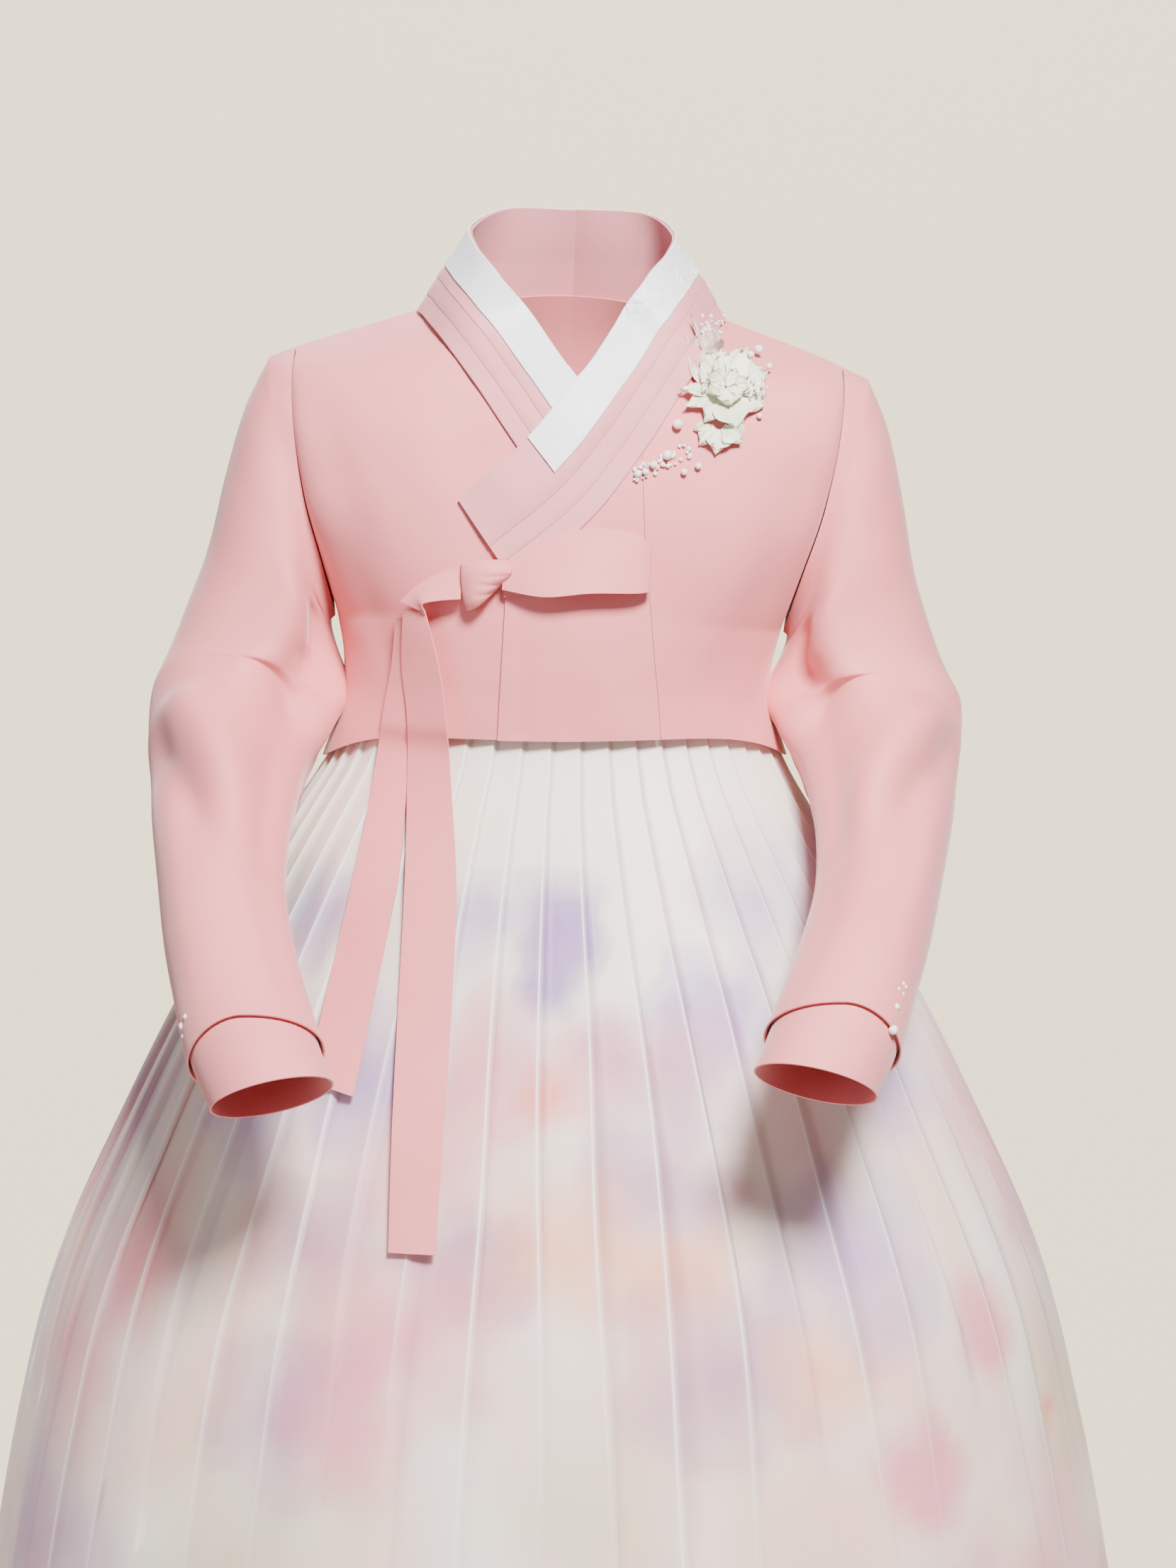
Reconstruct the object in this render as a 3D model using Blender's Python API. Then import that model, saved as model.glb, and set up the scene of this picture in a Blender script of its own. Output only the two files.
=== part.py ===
import math

import bpy
import numpy as np

# Korean hanbok, worn: a short crossed jacket with ribbon ties and a corsage, over a pleated skirt.
# Metres, +Z up, front toward -Y, the wearer's left toward +X. The origin is between the shoulders,
# at the base of the neck, where the wearer carries the jacket.

for item in list(bpy.data.objects):
    bpy.data.objects.remove(item, do_unlink=True)

garment = bpy.data.collections.new("korean_hanbok")
bpy.context.scene.collection.children.link(garment)

CLOTH = 0.0010
SEAM = 0.0003
UNDERARM_V = 0.42
LEAN = math.tan(math.radians(2.2))
LEAN_FROM = -0.30
LEAN_OVER = 0.10

COLOURS = {
    "pink": (0.80, 0.45, 0.46, 1.0),
    "collar_pink": (0.74, 0.42, 0.47, 1.0),
    "white": (0.86, 0.86, 0.90, 1.0),
    "ivory": (0.85, 0.83, 0.76, 1.0),
    "sheer": (0.78, 0.70, 0.76, 1.0),
    "lining": (0.86, 0.82, 0.79, 1.0),
}


def spline(rows, column, at):
    """Smooth reading of one column of a table whose first column is the position."""
    xs = np.array([row[0] for row in rows], float)
    ys = np.array([row[column] for row in rows], float)
    at = np.clip(np.asarray(at, float), xs[0], xs[-1])
    steep = np.gradient(ys, xs)
    i = np.clip(np.searchsorted(xs, at, side="right") - 1, 0, len(xs) - 2)
    gap = xs[i + 1] - xs[i]
    t = (at - xs[i]) / gap
    a = 2 * t**3 - 3 * t**2 + 1
    b = t**3 - 2 * t**2 + t
    c = -2 * t**3 + 3 * t**2
    d = t**3 - t**2
    return a * ys[i] + b * gap * steep[i] + c * ys[i + 1] + d * gap * steep[i + 1]


def straight(rows, column, at):
    """Straight reading of one column, for edges with corners."""
    return np.interp(at, [row[0] for row in rows], [row[column] for row in rows])


def soft(at, low, high):
    t = np.clip((np.asarray(at, float) - low) / (high - low), 0, 1)
    return t * t * (3 - 2 * t)


def leaned(points):
    """The upper body stands a little to the wearer's left of the skirt."""
    out = np.array(points, float)
    z = out[..., 2].copy()
    x = out[..., 0].copy()
    out[..., 0] = x + LEAN * np.maximum(z - LEAN_FROM, 0)
    out[..., 2] = z - LEAN * x * soft(z, LEAN_FROM, LEAN_FROM + LEAN_OVER)
    return out


def material(name, colour):
    made = bpy.data.materials.new(name)
    made.use_nodes = True
    surface = made.node_tree.nodes["Principled BSDF"]
    surface.inputs["Base Color"].default_value = COLOURS[colour]
    surface.inputs["Roughness"].default_value = 0.75
    made.diffuse_color = COLOURS[colour]
    return made


def solid(name, colour, inner, outer, round_it):
    """Closed wall between two grids of points, rows by columns. round_it joins the last column to the first."""
    rows, cols = inner.shape[:2]
    count = rows * cols
    points = np.concatenate([leaned(inner).reshape(-1, 3), leaned(outer).reshape(-1, 3)])
    faces = []
    last = cols if round_it else cols - 1
    for i in range(rows - 1):
        for j in range(last):
            k = (j + 1) % cols
            a, b, c, d = i * cols + j, i * cols + k, (i + 1) * cols + k, (i + 1) * cols + j
            faces.append((a, d, c, b))
            faces.append((count + a, count + b, count + c, count + d))
    for j in range(last):
        k = (j + 1) % cols
        top = (rows - 1) * cols
        faces.append((j, k, count + k, count + j))
        faces.append((top + k, top + j, count + top + j, count + top + k))
    if not round_it:
        for i in range(rows - 1):
            a, b = i * cols, (i + 1) * cols
            faces.append((b, a, count + a, count + b))
            a, b = a + cols - 1, b + cols - 1
            faces.append((a, b, count + b, count + a))
    mesh = bpy.data.meshes.new(name)
    mesh.from_pydata(points.tolist(), [], faces)
    mesh.update()
    volume = 0.0
    for face in mesh.polygons:
        corners = [mesh.vertices[v].co for v in face.vertices]
        for n in range(1, len(corners) - 1):
            volume += corners[0].dot(corners[n].cross(corners[n + 1]))
    if volume < 0:
        mesh.flip_normals()
    thing = bpy.data.objects.new(name, mesh)
    garment.objects.link(thing)
    mesh.materials.append(material(name + "_cloth", colour))
    return thing


def unit(vectors):
    return vectors / np.maximum(np.linalg.norm(vectors, axis=-1, keepdims=True), 1e-12)


def facing(points, round_it):
    """Normals of a grid of points, from its neighbours."""
    if round_it:
        across = np.roll(points, -1, axis=1) - np.roll(points, 1, axis=1)
    else:
        across = np.gradient(points, axis=1)
    return unit(np.cross(across, np.gradient(points, axis=0)))


def cloth(name, colour, points, thick=CLOTH, round_it=False, normals=None, lift=0.0):
    """Wall of even thickness about a grid of points, moved out by lift."""
    if normals is None:
        normals = facing(points, round_it)
    lift = np.asarray(lift, float)[..., None] if np.ndim(lift) else lift
    inner = points + normals * (lift - thick / 2)
    outer = points + normals * (lift + thick / 2)
    return solid(name, colour, inner, outer, round_it)


# The jacket's body. v runs from the hem to the shoulder seam; phi runs from the centre, 0, to the side
# seam or armhole edge at a right angle. Depths are from the plane through the shoulders.
# v, half width, height at side, height at centre, depth at side, depth at centre, bend across, nape
FRONT = [
    (0.00, 0.1562, -0.3035, -0.2790, 0.010, -0.106, 6.0, 0.0),
    (0.12, 0.1450, -0.2700, -0.2540, 0.009, -0.109, 5.0, 0.0),
    (0.26, 0.1430, -0.2420, -0.2290, 0.005, -0.112, 3.0, 0.0),
    (0.42, 0.1480, -0.2120, -0.1950, 0.000, -0.113, 2.0, 0.0),
    (0.58, 0.1580, -0.1720, -0.1480, 0.000, -0.108, 1.6, 0.0),
    (0.74, 0.1710, -0.1250, -0.0980, 0.000, -0.096, 1.3, 0.0),
    (0.87, 0.1790, -0.0790, -0.0480, 0.000, -0.075, 1.1, 0.0),
    (0.95, 0.1812, -0.0510, -0.0060, 0.002, -0.045, 1.0, 0.0),
    (1.00, 0.1812, -0.0365, 0.0240, 0.004, 0.014, 1.0, 0.0),
]
BACK = [
    (0.00, 0.1562, -0.3035, -0.3035, 0.010, 0.102, 2.0, 0.0),
    (0.12, 0.1450, -0.2700, -0.2700, 0.009, 0.098, 2.0, 0.0),
    (0.26, 0.1430, -0.2420, -0.2400, 0.005, 0.097, 2.0, 0.0),
    (0.42, 0.1480, -0.2120, -0.2020, 0.000, 0.101, 2.0, 0.0),
    (0.58, 0.1580, -0.1720, -0.1540, 0.000, 0.105, 1.6, 0.0),
    (0.74, 0.1710, -0.1250, -0.1040, 0.000, 0.102, 1.3, 0.002),
    (0.87, 0.1790, -0.0790, -0.0520, 0.000, 0.086, 1.1, 0.008),
    (0.95, 0.1812, -0.0510, -0.0100, 0.002, 0.060, 1.0, 0.025),
    (1.00, 0.1812, -0.0365, 0.0240, 0.004, 0.014, 1.0, 0.056),
]
# v, how far the armhole's edge stands in front of and behind the side seam's line
ARMHOLE = [
    (0.42, 0.0000, 0.0000),
    (0.50, 0.0200, 0.0200),
    (0.58, 0.0360, 0.0360),
    (0.74, 0.0470, 0.0470),
    (0.87, 0.0410, 0.0430),
    (0.95, 0.0250, 0.0270),
    (1.00, 0.0000, 0.0000),
]
NECK_X = 0.0885


def body(rows, phi, v):
    """Point of the jacket's body and the way out of the cloth there."""

    def place(p, q):
        wide, side, mid = spline(rows, 1, q), spline(rows, 2, q), spline(rows, 3, q)
        at_mid, bend, nape = spline(rows, 5, q), spline(rows, 6, q), spline(rows, 7, q)
        if rows is FRONT:
            at_side = spline(FRONT, 4, q) - spline(ARMHOLE, 1, q)
        else:
            at_side = spline(FRONT, 4, q) + spline(ARMHOLE, 2, q)
        s, c = np.sin(p), np.cos(p)
        x = wide * s
        y = at_side + (at_mid - at_side) * c + nape * soft(c, 0.873, 1.0)
        z = mid + (side - mid) * np.abs(s) ** bend
        return np.stack([x, y, z], -1)

    phi, v = np.broadcast_arrays(np.asarray(phi, float), np.asarray(v, float))
    e = 1e-3
    across = place(phi + e, v) - place(phi - e, v)
    up = place(phi, np.minimum(v + e, 1)) - place(phi, np.maximum(v - e, 0))
    out = unit(np.cross(across, up))
    if rows is BACK:
        out = -out
    return place(phi, v), out


def find(rows, x, z):
    """phi and v of the body's point that shows at x and z from the front or back."""
    x, z = np.broadcast_arrays(np.asarray(x, float), np.asarray(z, float))
    low, high = np.zeros(x.shape), np.ones(x.shape)
    for _ in range(40):
        v = (low + high) / 2
        s = np.clip(x / spline(rows, 1, v), -1, 1)
        mid, side = spline(rows, 3, v), spline(rows, 2, v)
        here = mid + (side - mid) * np.abs(s) ** spline(rows, 6, v)
        low, high = np.where(here < z, v, low), np.where(here < z, high, v)
    v = (low + high) / 2
    return np.arcsin(np.clip(x / spline(rows, 1, v), -1, 1)), v


ROWS = [0, 0.10, 0.20, 0.31, 0.42, 0.54, 0.66, 0.78, 0.87, 0.93, 0.97, 1.0]


def panel(name, rows, inside, neckline, side, columns, lift, tuck, hidden=0.0):
    """Front or back panel, from its inside edge (a function of v, as phi) to the side seam and armhole.

    neckline gives the height of the neck edge at each x, and tuck how far that edge sinks under the collar."""
    fraction = np.array(columns)
    shares = np.array(ROWS)
    phi_side = side * (math.pi / 2 - 0.0015)

    def across(c, v):
        return inside(v) * (1 - c) + phi_side * c

    top = np.ones(len(fraction))
    for n, c in enumerate(fraction):
        low, high = 0.3, 1.0
        point, _ = body(rows, across(c, 1.0), 1.0)
        if point[2] <= neckline(point[0]):
            continue
        for _ in range(40):
            mid = (low + high) / 2
            point, _ = body(rows, across(c, mid), mid)
            if point[2] > neckline(point[0]):
                high = mid
            else:
                low = mid
        top[n] = low
    v = shares[:, None] * (top[None, :] - 0.002)
    c = np.broadcast_to(fraction[None, :], v.shape)
    points, out = body(rows, across(c, v), v)
    if rows is BACK:
        out[:, 0, 0] = 0
    rise = lift * (1 - soft(c, 0.55, 1.0))
    if hidden:
        rise = rise - 0.0008 * (1 - soft(c, hidden, hidden + 0.13))
    rise = rise - tuck * soft(shares[:, None], 0.9, 1.0) * (top[None, :] < 1)
    return cloth(name, "pink", points, normals=out, lift=rise)


# The collar (git) runs from the centre back round the neck and down the front. Its inner edge is the
# neck edge, its outer edge the last tuck. t counts the stations from the centre back.
# t, inner x, inner y, inner z, outer x, outer y, outer z
UNDER_RUN = [
    (0, -0.00015, 0.0580, 0.0590, -0.00015, 0.0870, -0.0020),
    (1, -0.0430, 0.0480, 0.0585, -0.0600, 0.0720, -0.0060),
    (2, -0.0650, 0.0130, 0.0460, -0.0960, 0.0160, -0.0110),
    (3, -0.0615, -0.0180, 0.0340, -0.0935, -0.0160, -0.0150),
    (4, -0.0480, -0.0450, 0.0190, -0.0810, -0.0470, -0.0270),
    (5, -0.0220, -0.0670, -0.0130, -0.0600, -0.0800, -0.0530),
    (6, 0.0062, -0.0800, -0.0478, -0.0380, -0.0930, -0.0820),
    (7, 0.0200, -0.0870, -0.0650, -0.0200, -0.0990, -0.1060),
]
OVER_RUN = [
    (0, 0.00015, 0.0580, 0.0590, 0.00015, 0.0870, -0.0020),
    (1, 0.0430, 0.0480, 0.0585, 0.0600, 0.0720, -0.0060),
    (2, 0.0620, 0.0130, 0.0460, 0.0960, 0.0160, -0.0110),
    (3, 0.0590, -0.0180, 0.0340, 0.0940, -0.0160, -0.0150),
    (4, 0.0470, -0.0450, 0.0190, 0.0860, -0.0470, -0.0320),
    (5, 0.0290, -0.0660, -0.0140, 0.0720, -0.0720, -0.0560),
    (6, 0.0062, -0.0800, -0.0478, 0.0510, -0.0900, -0.0900),
    (7, -0.0242, -0.0990, -0.0863, 0.0173, -0.1050, -0.1353),
    (8, -0.0671, -0.1060, -0.1263, -0.0299, -0.1090, -0.1760),
]
BAND = 0.062
PANEL_EDGE = 0.72
# distance across the band, height of its outer face: the collar, then two tucks, each a step lower
TUCKS = [
    (0.0000, 0.0020),
    (0.0135, 0.0020),
    (0.0270, 0.0020),
    (0.0354, 0.0020),
    (0.0358, 0.0015),
    (0.0486, 0.0015),
    (0.0490, 0.0010),
    (0.0620, 0.0010),
]


def seated(run):
    """The run with its outer edge put on the body, from the side of the neck forward and at the nape."""
    rows = []
    for t, ix, iy, iz, ox, oy, oz in run:
        if t >= 3:
            oy = float(body(FRONT, *find(FRONT, ox, oz))[0][1])
        elif t <= 1:
            oy = float(body(BACK, *find(BACK, ox, oz))[0][1])
        rows.append((t, ix, iy, iz, ox, oy, oz))
    return rows


def band_point(run, t, f):
    """Point of the collar's ground: on the chest in front, standing free round the neck."""
    t, f = np.broadcast_arrays(np.asarray(t, float), np.asarray(f, float))
    inner = np.stack([spline(run, k, t) for k in (1, 2, 3)], -1)
    outer = np.stack([spline(run, k, t) for k in (4, 5, 6)], -1)
    point = inner * (1 - f[..., None]) + outer * f[..., None]
    front = body(FRONT, *find(FRONT, point[..., 0], point[..., 2]))[0][..., 1]
    share = soft(t, 4.2, 5.6)
    point[..., 1] = point[..., 1] * (1 - share) + front * share
    return point


def band_frame(run, t, f):
    e = 2e-3
    along = band_point(run, t + e, f) - band_point(run, t - e, f)
    across = band_point(run, t, f + e) - band_point(run, t, f - e)
    out = np.cross(along, across)
    out[..., 0] = np.where(t == 0, 0, out[..., 0])
    return band_point(run, t, f), unit(out) * (1 if run[0][1] > 0 else -1)


def collar_rise(t, f):
    """Both runs stand a little off the shoulder seam where they pass over it."""
    return (0.0012 + 0.0016 * soft(t, 0.8, 1.6)) * (1 - soft(t, 4.2, 5.4)) * soft(f, 0.3, 0.6)


def crossing(t, f):
    """The over run rises where the under run passes below it."""
    along = soft(t, 5.0, 5.8) * (1 - soft(t, 7.5, 7.95))
    return collar_rise(t, f) + 0.0030 * along * (1 - soft(f, 0.35, 0.65))


def collar_band(name, run, stations, ground, rise):
    t = np.array(stations)[:, None]
    f = np.array([row[0] / BAND for row in TUCKS])[None, :]
    t, f = np.broadcast_arrays(t, f)
    point, out = band_frame(run, t, f)
    lift = ground + rise(t, f)
    height = np.array([row[1] for row in TUCKS])[None, :, None]
    inner = point + out * lift[..., None]
    outer = point + out * (lift[..., None] + height)
    return solid(name, "collar_pink", inner, outer, False)


UNDER_RUN, OVER_RUN = seated(UNDER_RUN), seated(OVER_RUN)


def neckline_of(run):
    """Height of the panel's neck edge at each x: it lies under the band."""
    t = np.linspace(2, run[-1][0], 60)
    point = band_point(run, t, np.full(t.shape, PANEL_EDGE))
    order = np.argsort(point[:, 0])
    xs, zs = point[order, 0], point[order, 2]

    def height(x):
        if abs(x) > NECK_X:
            return 1.0
        return float(np.interp(x, xs, zs))

    return height


# Two fronts and the outer overlap (seop). The over front lies on the under front.
OVER_LIFT = 0.0015
# v, x of the seam between front and overlap, x of the overlap's straight front edge
SEOP = [
    (0.00, 0.0685, -0.0367),
    (0.42, 0.0590, -0.0347),
    (0.60, 0.0530, -0.0345),
    (1.00, 0.0440, -0.0345),
]


def phi_at(rows, x, v):
    return np.arcsin(np.clip(x / spline(rows, 1, v), -1, 1))


under_neck = neckline_of(UNDER_RUN)
over_neck = neckline_of(OVER_RUN)
BACK_NECK_Z = 0.005

panel(
    "front_right_under",
    FRONT,
    lambda v: phi_at(FRONT, 0.012, v),
    under_neck,
    -1,
    [0, 0.13, 0.26, 0.37, 0.46, 0.56, 0.66, 0.77, 0.88, 0.95, 1.0],
    0.0,
    0.0006,
    0.24,
)
panel(
    "front_left_over",
    FRONT,
    lambda v: phi_at(FRONT, straight(SEOP, 1, v) + SEAM / 2, v),
    over_neck,
    1,
    [0, 0.14, 0.28, 0.42, 0.56, 0.70, 0.83, 0.93, 1.0],
    OVER_LIFT,
    0.0006,
)


def overlap():
    """Outer seop: from the straight front edge to its seam with the over front."""
    fraction = np.array([0, 0.17, 0.34, 0.51, 0.68, 0.84, 1.0])
    shares = np.array([0, 0.12, 0.25, 0.40, 0.55, 0.70, 0.86, 1.0])
    points, outs = [], []
    for c in fraction:

        def x_at(v, c=c):
            edge = straight(SEOP, 2, v)
            return edge + (straight(SEOP, 1, v) - SEAM / 2 - edge) * c

        low, high = 0.2, 1.0
        for _ in range(40):
            mid = (low + high) / 2
            x = x_at(mid)
            point, _ = body(FRONT, phi_at(FRONT, x, mid), mid)
            if point[2] > over_neck(x):
                high = mid
            else:
                low = mid
        v = shares * low
        point, out = body(FRONT, phi_at(FRONT, x_at(v), v), v)
        points.append(point)
        outs.append(out)
    grid, out = np.stack(points, 1), np.stack(outs, 1)
    rise = OVER_LIFT - 0.0006 * soft(shares[:, None], 0.85, 1.0) * np.ones(grid.shape[:2])
    return cloth("seop_overlap", "pink", grid, normals=out, lift=rise)


overlap()


# The back, cut in two with a seam down the centre.
def back_neck(x):
    if abs(x) > NECK_X:
        return 1.0
    return BACK_NECK_Z - 0.012 * (x / NECK_X) ** 2


for hand, side in (("right", -1), ("left", 1)):
    panel(
        "back_" + hand,
        BACK,
        lambda v, side=side: phi_at(BACK, side * SEAM / 2, v),
        back_neck,
        side,
        [0, 0.15, 0.30, 0.43, 0.56, 0.68, 0.79, 0.90, 1.0],
        0.0,
        0.0046,
    )

# Collar bands and the white collar strip (dongjeong) sewn along the neck edge.
STATIONS = [0, 0.5, 1, 1.5, 2, 2.5, 3, 3.5, 4, 4.5, 5, 5.5, 6, 6.4, 6.7]
collar_band("git_under", UNDER_RUN, STATIONS, 0.0011, collar_rise)
collar_band("git_over", OVER_RUN, STATIONS[:-1] + [7.0, 7.5, 8.0], 0.0024, crossing)


def collar_strip(name, run, stations, ground, rise):
    t = np.array(stations)[:, None]
    f = np.array([row[0] / BAND for row in TUCKS[:3]])[None, :]
    t, f = np.broadcast_arrays(t, f)
    point, out = band_frame(run, t, f)
    lift = (ground + rise(t, f))[..., None]
    return solid(name, "white", point + out * lift, point + out * (lift + CLOTH), False)


collar_strip("dongjeong_under", UNDER_RUN, STATIONS, 0.0034, collar_rise)
collar_strip("dongjeong_over", OVER_RUN, STATIONS[:-1] + [7.0], 0.0047, crossing)


# Sleeves. Each ring is given by its outer and its inner point and its half depth, from the armhole to
# the open end. The forearm comes forward over the skirt.
# ring, outer x, y, z, inner x, y, z, half depth
ARM = [
    (1, 0.1985, 0.004, -0.0440, 0.1535, 0.000, -0.2165, 0.050),
    (2, 0.2135, 0.004, -0.0770, 0.1530, 0.000, -0.2230, 0.055),
    (3, 0.2255, 0.003, -0.1230, 0.1510, -0.001, -0.2310, 0.058),
    (4, 0.2360, 0.002, -0.1730, 0.1495, -0.004, -0.2420, 0.059),
    (5, 0.2510, 0.002, -0.2180, 0.1490, -0.010, -0.2550, 0.061),
    (6, 0.2630, 0.000, -0.2550, 0.1490, -0.022, -0.2700, 0.063),
    (7, 0.2680, -0.012, -0.2860, 0.1530, -0.044, -0.2850, 0.062),
    (8, 0.2665, -0.045, -0.3110, 0.1630, -0.076, -0.3020, 0.057),
    (9, 0.2600, -0.088, -0.3380, 0.1720, -0.112, -0.3270, 0.051),
    (10, 0.2510, -0.138, -0.3700, 0.1720, -0.158, -0.3590, 0.046),
    (11, 0.2420, -0.188, -0.4020, 0.1610, -0.206, -0.3920, 0.044),
    (12, 0.2310, -0.232, -0.4300, 0.1470, -0.250, -0.4210, 0.043),
    (13, 0.2240, -0.262, -0.4490, 0.1360, -0.280, -0.4410, 0.043),
    (14, 0.2130, -0.288, -0.4690, 0.1240, -0.304, -0.4600, 0.041),
]
AROUND = 20
# ring, turn, reach along, reach round, depth of each fold of the sleeve (turn 0 outside, 90 in front)
FOLDS = [
    (6.6, 110, 0.9, 26, -0.0050),
    (7.6, 60, 0.8, 30, -0.0040),
    (5.4, 150, 1.1, 22, -0.0050),
    (8.8, 120, 0.8, 24, -0.0035),
    (3.6, 140, 1.8, 18, -0.0050),
    (7.3, 200, 1.3, 46, -0.0100),
]


def ring(at, spin, swell=0.0):
    """Ring of the sleeve at a place along the table, and the way along it."""

    def centre(s):
        return np.stack([(spline(ARM, k, s) + spline(ARM, k + 3, s)) / 2 for k in (1, 2, 3)], -1)

    outer = np.stack([spline(ARM, k, at) for k in (1, 2, 3)], -1)
    inner = np.stack([spline(ARM, k, at) for k in (4, 5, 6)], -1)
    along = unit(centre(min(at + 0.3, 14)) - centre(max(at - 0.3, 1)))
    half = (outer - inner) / 2
    reach = np.linalg.norm(half)
    broad = half / reach
    deep = unit(np.cross(along, broad))
    c, s = np.cos(spin)[:, None], np.sin(spin)[:, None]
    size = spline(ARM, 7, at) + swell
    return (outer + inner) / 2 + broad * (reach + swell) * c + deep * size * s, along


def armhole(spin):
    """Edge of the armhole, from the shoulder seam down the front to the underarm and up the back."""
    points = []
    for turn in spin:
        share = abs((turn + math.pi) % (2 * math.pi) - math.pi) / math.pi
        v = 1 - 0.002 - share * (1 - UNDERARM_V)
        rows = FRONT if (turn % (2 * math.pi)) <= math.pi else BACK
        point, _ = body(rows, math.pi / 2 - 0.0015, v)
        gap = SEAM + 0.0006 + 0.0016 * share**2
        points.append(point + np.array([gap, 0, -0.0012 * share**3]))
    return np.array(points)


CUFF_SHIFT = {"right": (0.006, -0.004), "left": (-0.004, 0.003)}


def arm_shift(points, hand, at):
    """The wearer's right cuff hangs a little lower and further out than the left."""
    dx, dz = CUFF_SHIFT[hand]
    share = float(soft(at, 8, 13))
    return points + np.array([dx * share, 0, dz * share])


def sleeve(hand, side):
    spin = np.arange(AROUND) * 2 * math.pi / AROUND
    places = [1, 1.5, 2, 3, 4, 5, 5.8, 6.6, 7.2, 7.8, 8.6, 9.4, 10.4, 11.4, 12.3, 12.9]
    grid = [armhole(spin)]
    for at in places:
        points, along = ring(at, spin)
        middle = points.mean(0)
        degrees = np.degrees(spin)
        for place, turn, reach, wide, depth in FOLDS:
            off = (degrees - turn + 180) % 360 - 180
            bump = depth * np.exp(-(((at - place) / reach) ** 2)) * np.exp(-((off / wide) ** 2))
            points = points + unit(points - middle) * bump[:, None]
        if at == places[-1]:
            slant = 0.012 * np.cos(spin) ** 2 * (np.cos(spin) > 0) + 0.012 * np.sin(spin)
            slant = slant + 0.004 * (np.cos(spin) < 0) * np.cos(spin) ** 2
            points = points + along * slant[:, None]
        points = arm_shift(points, hand, at)
        grid.append(points)
    grid = np.array(grid)
    normals = facing(grid, True)
    middle = grid.mean(1, keepdims=True)
    if ((grid - middle) * normals).sum() < 0:
        normals = -normals
    mirror = np.array([side, 1, 1])
    cloth("sleeve_" + hand, "pink", grid * mirror, normals=normals * mirror, round_it=True)


def cuff(hand, side):
    """Inner cuff that shows below the sleeve's slanted end."""
    spin = np.arange(18) * 2 * math.pi / 18
    grid = []
    for at in (12.0, 12.7, 13.4, 13.9):
        points, along = ring(at, spin, -0.0021 - 0.0012 * (at - 12))
        if at == 13.9:
            points = points + along * (0.010 * np.sin(spin) + 0.006 * np.cos(spin))[:, None]
        grid.append(arm_shift(points, hand, at))
    grid = np.array(grid)
    normals = facing(grid, True)
    if ((grid - grid.mean(1, keepdims=True)) * normals).sum() < 0:
        normals = -normals
    mirror = np.array([side, 1, 1])
    cloth("cuff_" + hand, "pink", grid * mirror, normals=normals * mirror, round_it=True)


for hand, side in (("right", -1), ("left", 1)):
    sleeve(hand, side)
    cuff(hand, side)


# The skirt (chima): sheer pleated cloth over a pale lining, both sewn into a chest band that the
# jacket hides. Heights run down from the band to the hem.
# height, half width, half depth in front, half depth behind, depth of the pleats, centre
SKIRT = [
    (-1.3800, 0.4600, 0.3900, 0.4050, 0.0150, -0.003),
    (-1.2000, 0.4300, 0.3640, 0.3780, 0.0140, -0.003),
    (-1.0300, 0.4030, 0.3380, 0.3520, 0.0120, -0.003),
    (-0.8700, 0.3780, 0.3120, 0.3280, 0.0110, -0.003),
    (-0.7430, 0.3550, 0.2840, 0.3000, 0.0095, -0.003),
    (-0.6500, 0.3320, 0.2580, 0.2740, 0.0085, -0.003),
    (-0.5400, 0.2830, 0.2150, 0.2320, 0.0070, -0.003),
    (-0.4660, 0.2460, 0.1820, 0.1980, 0.0060, -0.003),
    (-0.3900, 0.2020, 0.1480, 0.1580, 0.0050, -0.003),
    (-0.3400, 0.1720, 0.1250, 0.1280, 0.0042, -0.002),
    (-0.3150, 0.1565, 0.1120, 0.1030, 0.0038, -0.001),
    (-0.3035, 0.1500, 0.1060, 0.0955, 0.0036, 0.000),
    (-0.2870, 0.1430, 0.0990, 0.0900, 0.0032, 0.000),
    (-0.2650, 0.1365, 0.0950, 0.0860, 0.0030, 0.000),
    (-0.2200, 0.1330, 0.0930, 0.0840, 0.0028, 0.000),
    (-0.1728, 0.1320, 0.0920, 0.0830, 0.0024, 0.000),
]
SKIRT_ROWS = [-1.38, -1.20, -1.03, -0.87, -0.743, -0.64, -0.54, -0.45, -0.38, -0.335, -0.3035, -0.265, -0.1728]
PLEATS = 48
BAND_TOP = -0.1200
BAND_FOOT = -0.1725


def skirt_ring(z, turn, out):
    """Points of the skirt at a height, moved out level by out."""
    wide = spline(SKIRT, 1, z)
    deep = np.where(np.sin(turn) < 0, spline(SKIRT, 2, z), spline(SKIRT, 3, z))
    x = spline(SKIRT, 5, z) + wide * np.cos(turn)
    y = deep * np.sin(turn)
    normal = unit(np.stack([np.cos(turn) / wide, np.sin(turn) / deep, np.zeros(turn.shape)], -1))
    return np.stack([x, y, np.full(turn.shape, z)], -1) + normal * np.asarray(out)[..., None]


def skirt_front(x, z, out):
    """Depth of the skirt's front, moved out by out, at x and z."""
    wide, deep = spline(SKIRT, 1, z), spline(SKIRT, 2, z)
    share = np.clip((x - spline(SKIRT, 5, z)) / (wide + out), -0.999, 0.999)
    return -(deep + out) * np.sqrt(1 - share**2)


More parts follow.
